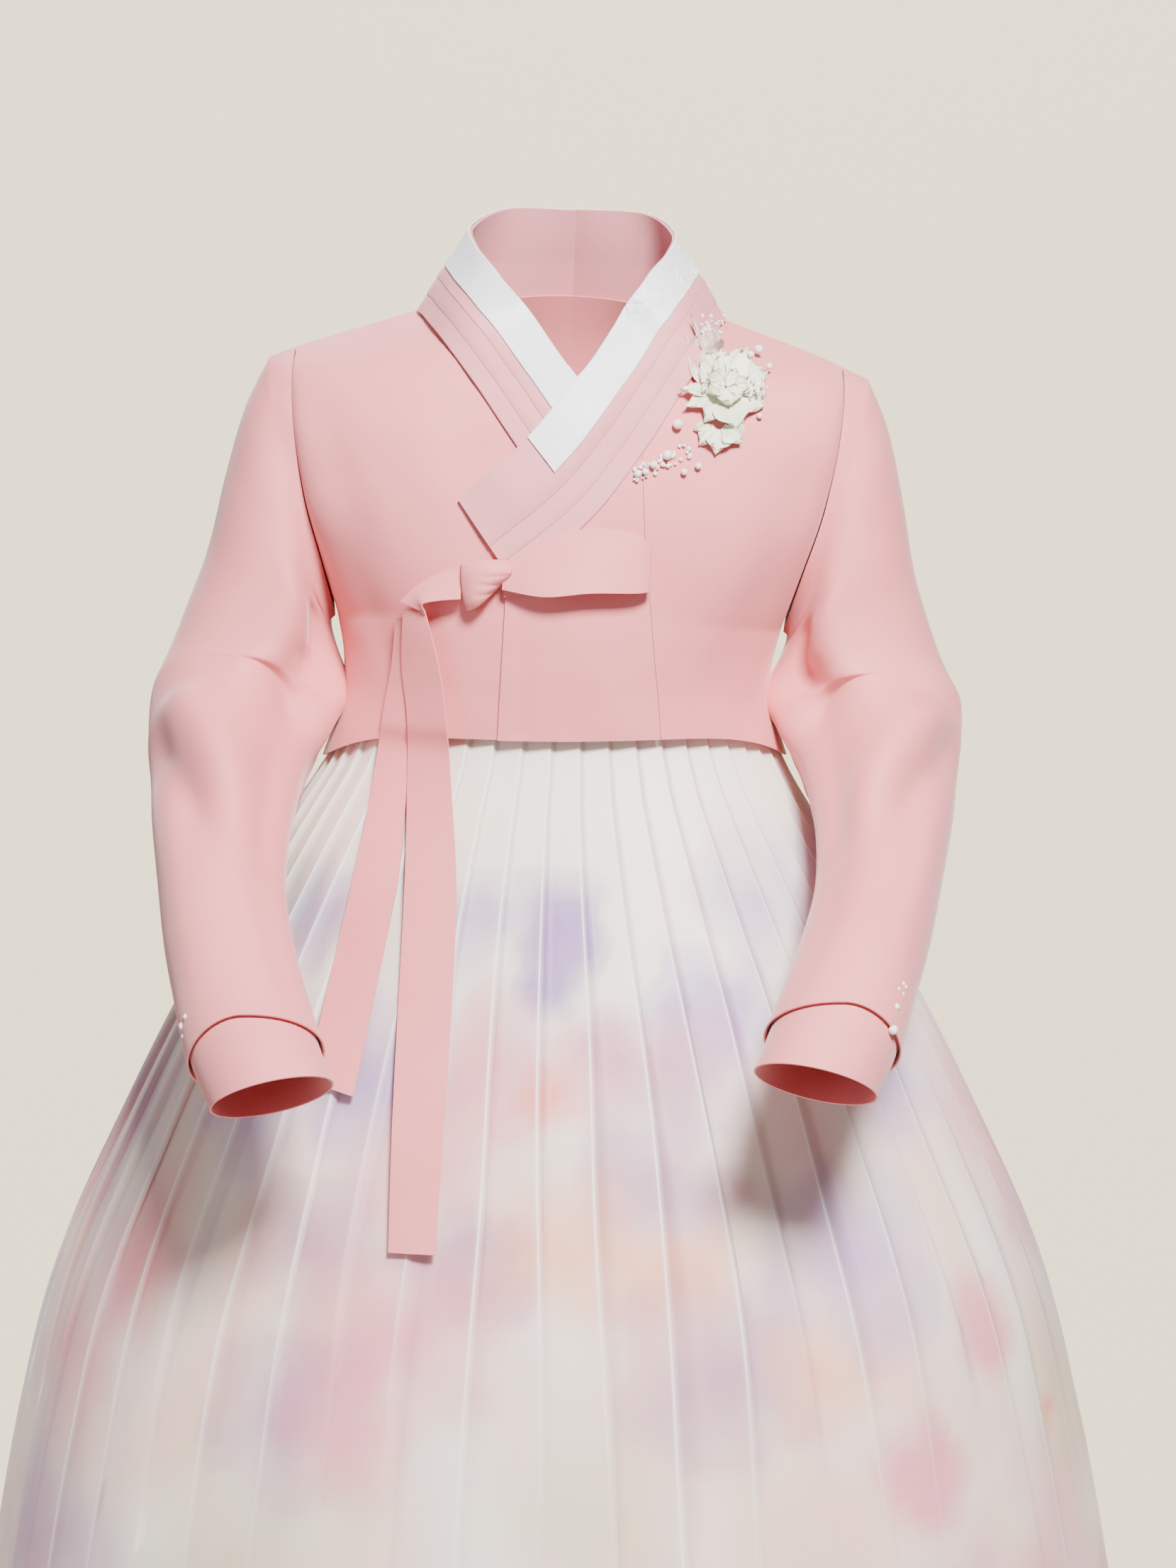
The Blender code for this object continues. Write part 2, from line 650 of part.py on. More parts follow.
def outer_skirt():
    shares = [0.0, 0.85]
    levels = [0.0, 1.0]
    grid = []
    for z in SKIRT_ROWS:
        turn, out = [], []
        for n in range(PLEATS):
            for share, level in zip(shares, levels):
                turn.append((n + share) * 2 * math.pi / PLEATS)
                out.append(level * float(spline(SKIRT, 4, z)))
        grid.append(skirt_ring(z, np.array(turn), np.array(out)))
    grid = np.array(grid)
    normals = facing(grid, True)
    if ((grid - grid.mean(1, keepdims=True)) * normals).sum() < 0:
        normals = -normals
    cloth("chima_outer", "sheer", grid, normals=normals, round_it=True)


def lining():
    turn = np.arange(40) * 2 * math.pi / 40
    grid = []
    for z in SKIRT_ROWS:
        clear = 0.0018 + 0.0030 * float(soft(-z, 0.30, 0.60))
        grid.append(skirt_ring(z, turn, np.full(turn.shape, -clear)))
    grid = np.array(grid)
    normals = facing(grid, True)
    if ((grid - grid.mean(1, keepdims=True)) * normals).sum() < 0:
        normals = -normals
    cloth("chima_lining", "lining", grid, normals=normals, round_it=True)


def chest_band():
    turn = np.arange(36) * 2 * math.pi / 36
    grid = []
    for share in (0, 0.5, 1):
        z = BAND_FOOT + (BAND_TOP - BAND_FOOT) * share
        ring_points = skirt_ring(BAND_FOOT - SEAM, turn, np.full(turn.shape, -0.0005 - 0.002 * share))
        ring_points[:, 2] = z
        grid.append(ring_points)
    grid = np.array(grid)
    normals = facing(grid, True)
    if ((grid - grid.mean(1, keepdims=True)) * normals).sum() < 0:
        normals = -normals
    cloth("chest_band", "lining", grid, thick=0.0024, normals=normals, round_it=True)


outer_skirt()
lining()
chest_band()


# Ribbon ties (goreum), one ribbon width throughout: a knot on the overlap's edge, a bow loop toward
# the wearer's left, an arm toward the wearer's right, and two tails that lie on the skirt.
def rest(x, z):
    """Depth of what a ribbon lies on, at x and z."""
    chest = body(FRONT, *find(FRONT, x, np.maximum(z, -0.278)))[0][..., 1] - 0.0018
    below = skirt_front(x, z, spline(SKIRT, 4, z) + CLOTH)
    share = soft(-z, 0.270, 0.290)
    return np.minimum(chest * (1 - share) + (below - 0.002) * share, np.where(z < -0.275, below, chest))


def ribbon(name, rows, steps, across=(0, 0.5, 1), bow=0.0):
    """Flat ribbon. rows: place, left x, left z, right x, right z, lift at left, lift at right."""
    at = np.linspace(rows[0][0], rows[-1][0], steps)[:, None]
    c = np.array(across)[None, :]
    at, c = np.broadcast_arrays(at, c)
    x = spline(rows, 1, at) * (1 - c) + spline(rows, 3, at) * c
    z = spline(rows, 2, at) * (1 - c) + spline(rows, 4, at) * c
    lift = spline(rows, 5, at) * (1 - c) + spline(rows, 6, at) * c
    lift = lift + bow * 4 * c * (1 - c)
    points = np.stack([x, rest(x, z) - lift, z], -1)
    return cloth(name, "pink", points)


LONG_TAIL = [
    (0, -0.1010, -0.1985, -0.0860, -0.1995, 0.0100, 0.0090),
    (1, -0.1010, -0.2350, -0.0760, -0.2340, 0.0120, 0.0080),
    (2, -0.0960, -0.2700, -0.0700, -0.2700, 0.0130, 0.0100),
    (3, -0.0950, -0.3200, -0.0650, -0.3200, 0.0040, 0.0040),
    (4, -0.0960, -0.3800, -0.0620, -0.3800, 0.0004, 0.0004),
    (5, -0.1000, -0.4700, -0.0660, -0.4700, -0.0008, -0.0008),
    (6, -0.1020, -0.5300, -0.0700, -0.5300, -0.0008, -0.0008),
    (7, -0.1030, -0.5860, -0.0730, -0.5860, -0.0008, -0.0008),
]
SHORT_TAIL = [
    (0, -0.1060, -0.2050, -0.0880, -0.2060, 0.0030, 0.0050),
    (1, -0.1080, -0.2350, -0.0900, -0.2350, 0.0030, 0.0050),
    (2, -0.1130, -0.2680, -0.0930, -0.2720, 0.0045, 0.0045),
    (3, -0.1190, -0.3150, -0.0960, -0.3180, 0.0010, 0.0010),
    (4, -0.1280, -0.3600, -0.1000, -0.3650, 0.0010, 0.0010),
    (5, -0.1440, -0.4300, -0.1140, -0.4350, 0.0010, 0.0010),
    (6, -0.1580, -0.4900, -0.1270, -0.4970, 0.0010, 0.0010),
]
ribbon("goreum_long_tail", LONG_TAIL, 24)
ribbon("goreum_short_tail", SHORT_TAIL, 16)

# place, upper x, upper z, lower x, lower z, lift of the upper edge, lift of the lower edge
ARM_RIBBON = [
    (0, -0.0637, -0.1670, -0.0637, -0.1885, 0.0040, 0.0090),
    (1, -0.0800, -0.1740, -0.0770, -0.1900, 0.0050, 0.0130),
    (2, -0.0930, -0.1830, -0.0880, -0.1930, 0.0070, 0.0160),
    (3, -0.1030, -0.1930, -0.0860, -0.1990, 0.0110, 0.0130),
]
ribbon("goreum_arm", ARM_RIBBON, 8)


def bow_loop():
    """Ribbon folded back on itself: out to the fold at the wearer's left and back to the knot."""
    # place, x, z of the upper edge, z of the lower edge, lift of the upper edge, of the lower edge
    rows = [
        (0.0, -0.0360, -0.1660, -0.1860, 0.0030, 0.0030),
        (1.0, 0.0100, -0.1600, -0.1810, 0.0030, 0.0030),
        (2.0, 0.0500, -0.1580, -0.1770, 0.0032, 0.0034),
        (2.5, 0.0575, -0.1560, -0.1785, 0.0070, 0.0080),
        (3.0, 0.0520, -0.1500, -0.1800, 0.0095, 0.0135),
        (4.0, 0.0200, -0.1470, -0.1830, 0.0085, 0.0170),
        (5.0, -0.0100, -0.1530, -0.1860, 0.0070, 0.0150),
        (6.0, -0.0370, -0.1680, -0.1810, 0.0070, 0.0090),
    ]
    at = np.linspace(0, 6, 25)[:, None]
    c = np.array([0, 0.5, 1])[None, :]
    at, c = np.broadcast_arrays(at, c)
    x = spline(rows, 1, at)
    z = spline(rows, 2, at) * (1 - c) + spline(rows, 3, at) * c
    lift = spline(rows, 4, at) * (1 - c) + spline(rows, 5, at) * c
    points = np.stack([x, rest(x, z) - lift, z], -1)
    return cloth("goreum_loop", "pink", points)


bow_loop()


def knot():
    """Ribbon passed over the tie and pulled down: a short folded barrel, wider at the top."""
    # height, centre x, half width, half depth
    rows = [
        (-0.1985, -0.0560, 0.0030, 0.0020),
        (-0.1940, -0.0555, 0.0070, 0.0050),
        (-0.1860, -0.0535, 0.0105, 0.0070),
        (-0.1780, -0.0520, 0.0125, 0.0080),
        (-0.1700, -0.0515, 0.0130, 0.0075),
        (-0.1640, -0.0510, 0.0110, 0.0050),
        (-0.1620, -0.0510, 0.0060, 0.0025),
    ]
    spin = np.arange(14) * 2 * math.pi / 14
    points = []
    for z, x, wide, deep in rows:
        lobe = 1 + 0.10 * np.cos(3 * spin + 40 * (z + 0.18))
        px = x + wide * np.cos(spin) * lobe
        py = deep * np.sin(spin) * lobe
        flat = float(rest(np.array(x), np.array(z))) - 0.0003 - deep * 1.12
        points.append(np.stack([px, flat + py, np.full(px.shape, z)], -1))
    grid = np.array(points)
    middle = grid.mean(1, keepdims=True)
    solid("goreum_knot", "pink", middle + (grid - middle) * 0.3, grid, True)


knot()


# Corsage pinned on the wearer's left chest: petals of stiff pearly cloth.
# name, centre x, centre z, radius across, radius up, lift, cup, petals, ruffle, turn
PETALS = [
    ("corsage_flower", 0.1000, -0.0520, 0.0290, 0.0240, 0.0017, 11.0, 5, 0.0016, 0.3),
    ("corsage_heart", 0.1010, -0.0530, 0.0150, 0.0120, 0.0038, 20.0, 4, 0.0010, 0.9),
    ("corsage_lower", 0.0955, -0.0855, 0.0150, 0.0105, 0.0010, 18.0, 3, 0.0010, 0.0),
    ("corsage_bud_top", 0.0955, -0.0190, 0.0095, 0.0130, 0.0126, 22.0, 2, 0.0008, 1.2),
    ("corsage_bud_side", 0.0685, -0.0300, 0.0058, 0.0075, 0.0140, 30.0, 2, 0.0006, 0.6),
]


def petals(name, cx, cz, wide, tall, lift, cup, count, ruffle, turn):
    around = 8 * count if count > 3 else 20
    spin = np.arange(around) * 2 * math.pi / around
    base, out = body(FRONT, *find(FRONT, cx, cz))
    along = unit(np.cross(np.array([0.0, 0.0, 1.0]), out))
    up = unit(np.cross(out, along))
    grid = []
    for share in (0.06, 0.40, 0.72, 1.0):
        lobe = 1 - 0.22 * (1 - np.abs(np.cos(count * (spin - turn) / 2)) ** 0.7)
        radius = share * (1 + (lobe - 1) * share)
        px, pz = wide * radius * np.cos(spin), tall * radius * np.sin(spin)
        rise = lift + cup * (px**2 + pz**2) + ruffle * share**2 * np.sin(spin * (2 * count + 1))
        grid.append(base + along * px[:, None] + up * pz[:, None] + out * rise[:, None])
    grid = np.array(grid)
    solid(name, "ivory", grid, grid + out * 0.0011, True)


for row in PETALS:
    petals(*row)
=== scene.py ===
import math

import bpy
import numpy as np
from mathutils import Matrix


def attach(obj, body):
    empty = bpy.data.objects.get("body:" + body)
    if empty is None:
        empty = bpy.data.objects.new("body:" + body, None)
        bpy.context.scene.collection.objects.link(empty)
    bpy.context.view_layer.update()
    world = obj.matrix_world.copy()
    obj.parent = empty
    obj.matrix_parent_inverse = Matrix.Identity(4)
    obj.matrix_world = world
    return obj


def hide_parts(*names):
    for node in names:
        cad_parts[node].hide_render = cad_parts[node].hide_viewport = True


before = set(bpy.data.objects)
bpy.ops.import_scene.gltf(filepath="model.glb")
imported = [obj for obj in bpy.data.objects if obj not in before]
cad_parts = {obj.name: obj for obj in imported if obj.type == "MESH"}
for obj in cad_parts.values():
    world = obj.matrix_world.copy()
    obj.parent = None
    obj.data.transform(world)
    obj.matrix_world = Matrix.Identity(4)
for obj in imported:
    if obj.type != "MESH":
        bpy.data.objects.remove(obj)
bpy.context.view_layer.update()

# Camera at the photograph's angle: a little above the chest, looking slightly down.
camera = bpy.data.objects.new("camera", bpy.data.cameras.new("camera"))
bpy.context.scene.collection.objects.link(camera)
tilt = math.radians(8.5)
camera.location = (0.0225, -2.8 * math.cos(tilt), -0.323 + 2.8 * math.sin(tilt))
camera.rotation_euler = (math.pi / 2 - tilt, 0, 0)
camera.data.sensor_fit = "VERTICAL"
camera.data.sensor_height = 24
camera.data.lens = 24 / 0.3776
bpy.context.scene.camera = camera

# Pale studio: a round pale floor under the hem, an evenly lit wall behind, and soft lights.
world = bpy.data.worlds.new("studio")
bpy.context.scene.world = world
world.use_nodes = True
sky = world.node_tree.nodes["Background"]
sky.inputs["Color"].default_value = (0.97, 0.98, 1.0, 1)
sky.inputs["Strength"].default_value = 0.26

floor_mesh = bpy.data.meshes.new("floor")
floor_turns = [n * 2 * math.pi / 64 for n in range(64)]
floor_points = [(1.3 * math.cos(a), 1.3 * math.sin(a), -1.386) for a in floor_turns]
floor_mesh.from_pydata(floor_points, [], [tuple(range(64))])
floor = bpy.data.objects.new("floor", floor_mesh)
bpy.context.scene.collection.objects.link(floor)
floor_finish = bpy.data.materials.new("floor_finish")
floor_finish.use_nodes = True
floor_surface = floor_finish.node_tree.nodes["Principled BSDF"]
floor_surface.inputs["Base Color"].default_value = (0.70, 0.67, 0.59, 1)
floor_surface.inputs["Roughness"].default_value = 0.9
floor_mesh.materials.append(floor_finish)

wall_mesh = bpy.data.meshes.new("wall")
wall_corners = [(-1.6, 3.0, -2.4), (1.6, 3.0, -2.4), (1.6, 3.0, 1.2), (-1.6, 3.0, 1.2)]
wall_mesh.from_pydata(wall_corners, [], [(0, 1, 2, 3)])
wall = bpy.data.objects.new("wall", wall_mesh)
bpy.context.scene.collection.objects.link(wall)
wall_finish = bpy.data.materials.new("wall_finish")
wall_finish.use_nodes = True
wall_surface = wall_finish.node_tree.nodes["Principled BSDF"]
wall_surface.inputs["Base Color"].default_value = (0.02, 0.02, 0.02, 1)
wall_surface.inputs["Emission Color"].default_value = (1.0, 0.850, 0.580, 1)
wall_surface.inputs["Emission Strength"].default_value = 2.35
wall_mesh.materials.append(wall_finish)

for name, place, aim, size, power, tint in (
    ("key", (0.7, -2.5, 2.1), (0.0, 0.0, -0.45), 0.8, 455, (1.0, 0.975, 0.955)),
    ("fill", (-2.4, -2.2, 0.0), (0.0, 0.0, -0.6), 1.6, 20, (0.95, 0.97, 1.0)),
    ("back", (-0.6, 2.2, 1.6), (0.0, 0.0, -0.3), 1.6, 60, (1.0, 0.98, 0.97)),
):
    lamp = bpy.data.objects.new(name, bpy.data.lights.new(name, "AREA"))
    bpy.context.scene.collection.objects.link(lamp)
    lamp.location = place
    lamp.data.size = size
    lamp.data.energy = power
    lamp.data.color = tint
    away = [a - b for a, b in zip(aim, place)]
    length = math.sqrt(sum(a * a for a in away))
    lamp.rotation_euler = (math.acos(-away[2] / length), 0, math.atan2(away[1], away[0]) - math.pi / 2)


# Chima, the lining skirt: one layer of pale opaque cloth cut in gores and sewn into the chest band. It
# gives the skirt its body and shows through the sheer cloth.
CLOTH = 0.0010


def spline(rows, column, at):
    """Smooth reading of one column of a table whose first column is the position."""
    xs = np.array([row[0] for row in rows], float)
    ys = np.array([row[column] for row in rows], float)
    at = np.clip(np.asarray(at, float), xs[0], xs[-1])
    steep = np.gradient(ys, xs)
    i = np.clip(np.searchsorted(xs, at, side="right") - 1, 0, len(xs) - 2)
    gap = xs[i + 1] - xs[i]
    t = (at - xs[i]) / gap
    a = 2 * t**3 - 3 * t**2 + 1
    b = t**3 - 2 * t**2 + t
    return a * ys[i] + b * gap * steep[i] + (1 - a) * ys[i + 1] + (t**3 - t**2) * gap * steep[i + 1]


def soft(at, low, high):
    t = np.clip((np.asarray(at, float) - low) / (high - low), 0, 1)
    return t * t * (3 - 2 * t)


def leaned(points):
    """The upper body stands a little to the wearer's left of the skirt."""
    slope = math.tan(math.radians(2.2))
    out = np.array(points, float)
    x, z = out[..., 0].copy(), out[..., 2].copy()
    out[..., 0] = x + slope * np.maximum(z + 0.30, 0)
    out[..., 2] = z - slope * x * soft(z, -0.30, -0.20)
    return out


def unit(vectors):
    return vectors / np.maximum(np.linalg.norm(vectors, axis=-1, keepdims=True), 1e-12)


def facing(points, round_it):
    """Way out of the cloth at each point of a grid, away from the middle of its rows."""
    if round_it:
        across = np.roll(points, -1, axis=1) - np.roll(points, 1, axis=1)
    else:
        across = np.gradient(points, axis=1)
    out = unit(np.cross(across, np.gradient(points, axis=0)))
    if round_it and ((points - points.mean(1, keepdims=True)) * out).sum() < 0:
        out = -out
    return out


def shell(inner, outer, round_it):
    """Points and faces of a wall between two grids of points, or of one layer where inner is None."""
    rows, cols = outer.shape[:2]
    last = cols if round_it else cols - 1
    grid = np.arange(rows * cols).reshape(rows, cols)
    near = np.roll(grid, -1, axis=1)
    faces = np.stack([grid[:-1, :last], near[:-1, :last], near[1:, :last], grid[1:, :last]], -1)
    faces = faces.reshape(-1, 4)
    points = outer.reshape(-1, 3)
    if inner is None:
        return points, faces
    n = rows * cols
    rims = [(grid[0], -1), (grid[-1], 1)]
    if not round_it:
        rims += [(grid[:, 0], 1), (grid[:, -1], -1)]
    points = np.concatenate([points, inner.reshape(-1, 3)])
    parts = [faces, faces[:, ::-1] + n]
    for k, (line, way) in enumerate(rims):
        p, q = line, np.roll(line, -1)
        if k > 1 or not round_it:
            p, q = p[:-1], q[:-1]
        rim = np.stack([p, q, q + n, p + n], -1)
        parts.append(rim if way > 0 else rim[:, ::-1])
    faces = np.concatenate(parts)
    corners = points[faces]
    signed = np.einsum("ij,ij->i", corners[:, 0], np.cross(corners[:, 1], corners[:, 2])).sum()
    return points, faces[:, ::-1] if signed < 0 else faces


def make(name, node, finish, shells, sharp=50):
    """One piece from several shells. It stands for its node and rides on the body."""
    points, faces, count = [], [], 0
    for some_points, some_faces in shells:
        points.append(leaned(some_points))
        faces += (some_faces + count).tolist()
        count += len(some_points)
    mesh = bpy.data.meshes.new(name)
    mesh.from_pydata(np.concatenate(points).tolist(), [], faces)
    mesh.update()
    mesh.polygons.foreach_set("use_smooth", [True] * len(mesh.polygons))
    mesh.set_sharp_from_angle(angle=math.radians(sharp))
    mesh.materials.append(finish)
    piece = bpy.data.objects.new(name, mesh)
    bpy.context.scene.collection.objects.link(piece)
    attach(piece, "root")
    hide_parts(node)
    return piece


def sew(name, node, finish, inner, outer, round_it, sharp=50):
    """Piece of cloth between two grids of points."""
    return make(name, node, finish, [shell(inner, outer, round_it)], sharp)


def woven(name, colour, shade, rough=0.6, sheen=0.25, thread=1500.0, depth=0.00006, cloud=9.0, alpha=1.0):
    """Woven cloth: soft clouding of the dye, fine threads both ways, and a low sheen."""
    made = bpy.data.materials.new(name)
    made.use_nodes = True
    nodes, links = made.node_tree.nodes, made.node_tree.links
    surface = nodes["Principled BSDF"]
    place = nodes.new("ShaderNodeTexCoord")
    cloudy = nodes.new("ShaderNodeTexNoise")
    cloudy.inputs["Scale"].default_value = cloud
    cloudy.inputs["Detail"].default_value = 3.0
    links.new(place.outputs["Object"], cloudy.inputs["Vector"])
    slub = nodes.new("ShaderNodeTexNoise")
    slub.inputs["Scale"].default_value = 420.0
    slub.inputs["Detail"].default_value = 2.0
    links.new(place.outputs["Object"], slub.inputs["Vector"])
    both = nodes.new("ShaderNodeMath")
    both.operation = "MULTIPLY_ADD"
    links.new(slub.outputs["Fac"], both.inputs[0])
    both.inputs[1].default_value = 0.22
    links.new(cloudy.outputs["Fac"], both.inputs[2])
    dye = nodes.new("ShaderNodeValToRGB")
    dye.color_ramp.elements[0].position = 0.42
    dye.color_ramp.elements[0].color = (*shade, 1)
    dye.color_ramp.elements[1].position = 0.78
    dye.color_ramp.elements[1].color = (*colour, 1)
    links.new(both.outputs[0], dye.inputs["Fac"])
    links.new(dye.outputs["Color"], surface.inputs["Base Color"])
    bump = nodes.new("ShaderNodeBump")
    bump.inputs["Strength"].default_value = 0.35
    bump.inputs["Distance"].default_value = depth
    height = None
    for way in ("X", "Z"):
        wave = nodes.new("ShaderNodeTexWave")
        wave.wave_type = "BANDS"
        wave.bands_direction = way
        wave.inputs["Scale"].default_value = thread / 6.283
        wave.inputs["Distortion"].default_value = 0.6
        links.new(place.outputs["Object"], wave.inputs["Vector"])
        if height is None:
            height = wave
        else:
            weave = nodes.new("ShaderNodeMath")
            weave.operation = "MULTIPLY"
            links.new(height.outputs["Fac"], weave.inputs[0])
            links.new(wave.outputs["Fac"], weave.inputs[1])
            links.new(weave.outputs[0], bump.inputs["Height"])
    links.new(bump.outputs["Normal"], surface.inputs["Normal"])
    surface.inputs["Roughness"].default_value = rough
    surface.inputs["Specular IOR Level"].default_value = 0.3
    surface.inputs["Sheen Weight"].default_value = sheen
    surface.inputs["Sheen Roughness"].default_value = 0.45
    surface.inputs["Alpha"].default_value = alpha
    return made


# height, half width, half depth in front, half depth behind, depth of the pleats, centre
SKIRT = [
    (-1.3800, 0.4600, 0.3900, 0.4050, 0.0150, -0.003),
    (-1.2000, 0.4300, 0.3640, 0.3780, 0.0140, -0.003),
    (-1.0300, 0.4030, 0.3380, 0.3520, 0.0120, -0.003),
    (-0.8700, 0.3780, 0.3120, 0.3280, 0.0110, -0.003),
    (-0.7430, 0.3550, 0.2840, 0.3000, 0.0095, -0.003),
    (-0.6500, 0.3320, 0.2580, 0.2740, 0.0085, -0.003),
    (-0.5400, 0.2830, 0.2150, 0.2320, 0.0070, -0.003),
    (-0.4660, 0.2460, 0.1820, 0.1980, 0.0060, -0.003),
    (-0.3900, 0.2020, 0.1480, 0.1580, 0.0050, -0.003),
    (-0.3400, 0.1720, 0.1250, 0.1280, 0.0042, -0.002),
    (-0.3150, 0.1565, 0.1120, 0.1030, 0.0038, -0.001),
    (-0.3035, 0.1500, 0.1060, 0.0955, 0.0036, 0.000),
    (-0.2870, 0.1430, 0.0990, 0.0900, 0.0032, 0.000),
    (-0.2650, 0.1365, 0.0950, 0.0860, 0.0030, 0.000),
    (-0.2200, 0.1330, 0.0930, 0.0840, 0.0028, 0.000),
    (-0.1728, 0.1320, 0.0920, 0.0830, 0.0024, 0.000),
]


def skirt_ring(z, turn, out):
    """Points of the skirt at a height, moved out level by out."""
    wide = spline(SKIRT, 1, z)
    deep = np.where(np.sin(turn) < 0, spline(SKIRT, 2, z), spline(SKIRT, 3, z))
    x = spline(SKIRT, 5, z) + wide * np.cos(turn)
    normal = unit(np.stack([np.cos(turn) / wide, np.sin(turn) / deep, np.zeros(turn.shape)], -1))
    hoop = np.stack([x, deep * np.sin(turn), np.full(turn.shape, z)], -1)
    return hoop + normal * np.asarray(out)[..., None]


lining_cloth = woven("lining_cloth", (0.92, 0.84, 0.76), (0.86, 0.78, 0.70), rough=0.7, sheen=0.15)
lining_turn = np.arange(120) * 2 * math.pi / 120
lining_grid = np.array([
    skirt_ring(z, lining_turn, np.full(120, -0.0020 - 0.0034 * float(soft(-z, 0.30, 0.60))))
    for z in np.concatenate([np.linspace(-1.38, -0.45, 40), np.linspace(-0.43, -0.1728, 18)])
])
lining_out = facing(lining_grid, True)
skirt_lining = sew("skirt_lining", "chima_lining", lining_cloth, lining_grid - lining_out * CLOTH / 2,
                   lining_grid + lining_out * CLOTH / 2, True)


# Chima, the outer skirt: sheer organza pressed into knife pleats at the band, which open out lower
# down, printed with large watercolour blossoms in lavender, dusty pink and peach.
PLEATS = 48
PLEAT_SHARES = (0.0, 0.14, 0.30, 0.46, 0.62, 0.74, 0.80, 0.835, 0.86, 0.93)
INKS = {
    "lavender": (0.42, 0.27, 0.60),
    "violet": (0.34, 0.20, 0.52),
    "pink": (0.86, 0.26, 0.34),
    "dusk": (0.52, 0.24, 0.38),
    "peach": (0.95, 0.40, 0.22),
    "coral": (0.96, 0.22, 0.12),
    "leaf": (0.52, 0.62, 0.36),
}
# turn in degrees, height, reach, ink, strength, petals
BLOOMS = [
    (-90, -0.386, 0.030, "lavender", 0.50, 5),
    (-87, -0.405, 0.028, "violet", 0.65, 4),
    (-90, -0.430, 0.020, "violet", 0.60, 3),
    (-106, -0.388, 0.030, "lavender", 0.35, 5),
    (-64, -0.446, 0.040, "lavender", 0.60, 5),
    (-49, -0.382, 0.040, "lavender", 0.40, 4),
    (-141, -0.395, 0.040, "violet", 0.55, 4),
    (-117, -0.483, 0.050, "lavender", 0.45, 5),
    (-98, -0.476, 0.045, "pink", 0.45, 5),
    (-89, -0.495, 0.022, "coral", 0.40, 5),
    (-80, -0.476, 0.036, "pink", 0.40, 5),
    (-72, -0.486, 0.048, "dusk", 0.45, 4),
    (-76, -0.552, 0.046, "dusk", 0.55, 5),
    (-99, -0.594, 0.040, "dusk", 0.60, 5),
    (-88, -0.584, 0.046, "peach", 0.40, 5),
    (-75, -0.604, 0.034, "peach", 0.60, 4),
    (-119, -0.588, 0.046, "dusk", 0.45, 5),
    (-108, -0.640, 0.060, "pink", 0.50, 6),
    (-118, -0.690, 0.055, "dusk", 0.50, 5),
    (-111, -0.700, 0.045, "pink", 0.45, 5),
    (-71, -0.660, 0.060, "dusk", 0.50, 5),
    (-59, -0.664, 0.040, "peach", 0.40, 5),
    (-51, -0.606, 0.060, "lavender", 0.40, 5),
    (-48, -0.740, 0.040, "pink", 0.65, 5),
    (-33, -0.656, 0.038, "pink", 0.60, 4),
    (-21, -0.726, 0.014, "coral", 0.55, 3),
    (-34, -0.490, 0.050, "lavender", 0.40, 5),
    (-86, -0.740, 0.050, "leaf", 0.25, 4),
    (-106, -0.536, 0.040, "pink", 0.35, 5),
    (-134, -0.500, 0.050, "lavender", 0.40, 5),
    (-146, -0.620, 0.050, "pink", 0.45, 5),
]
chance = np.random.default_rng(7)
for row in range(7):
    for turn in range(0, 360, 15):
        height = -0.42 - 0.14 * row + chance.uniform(-0.07, 0.07)
        at = turn + chance.uniform(-9, 9) + (7 if row % 2 else 0)
        if 205 < at % 360 < 342 and height > -0.76:
            continue
        ink = ("lavender", "pink", "dusk", "peach", "dusk", "pink", "leaf", "violet")[chance.integers(8)]
        BLOOMS.append((at, height, chance.uniform(0.050, 0.105), ink, chance.uniform(0.18, 0.42), 5))


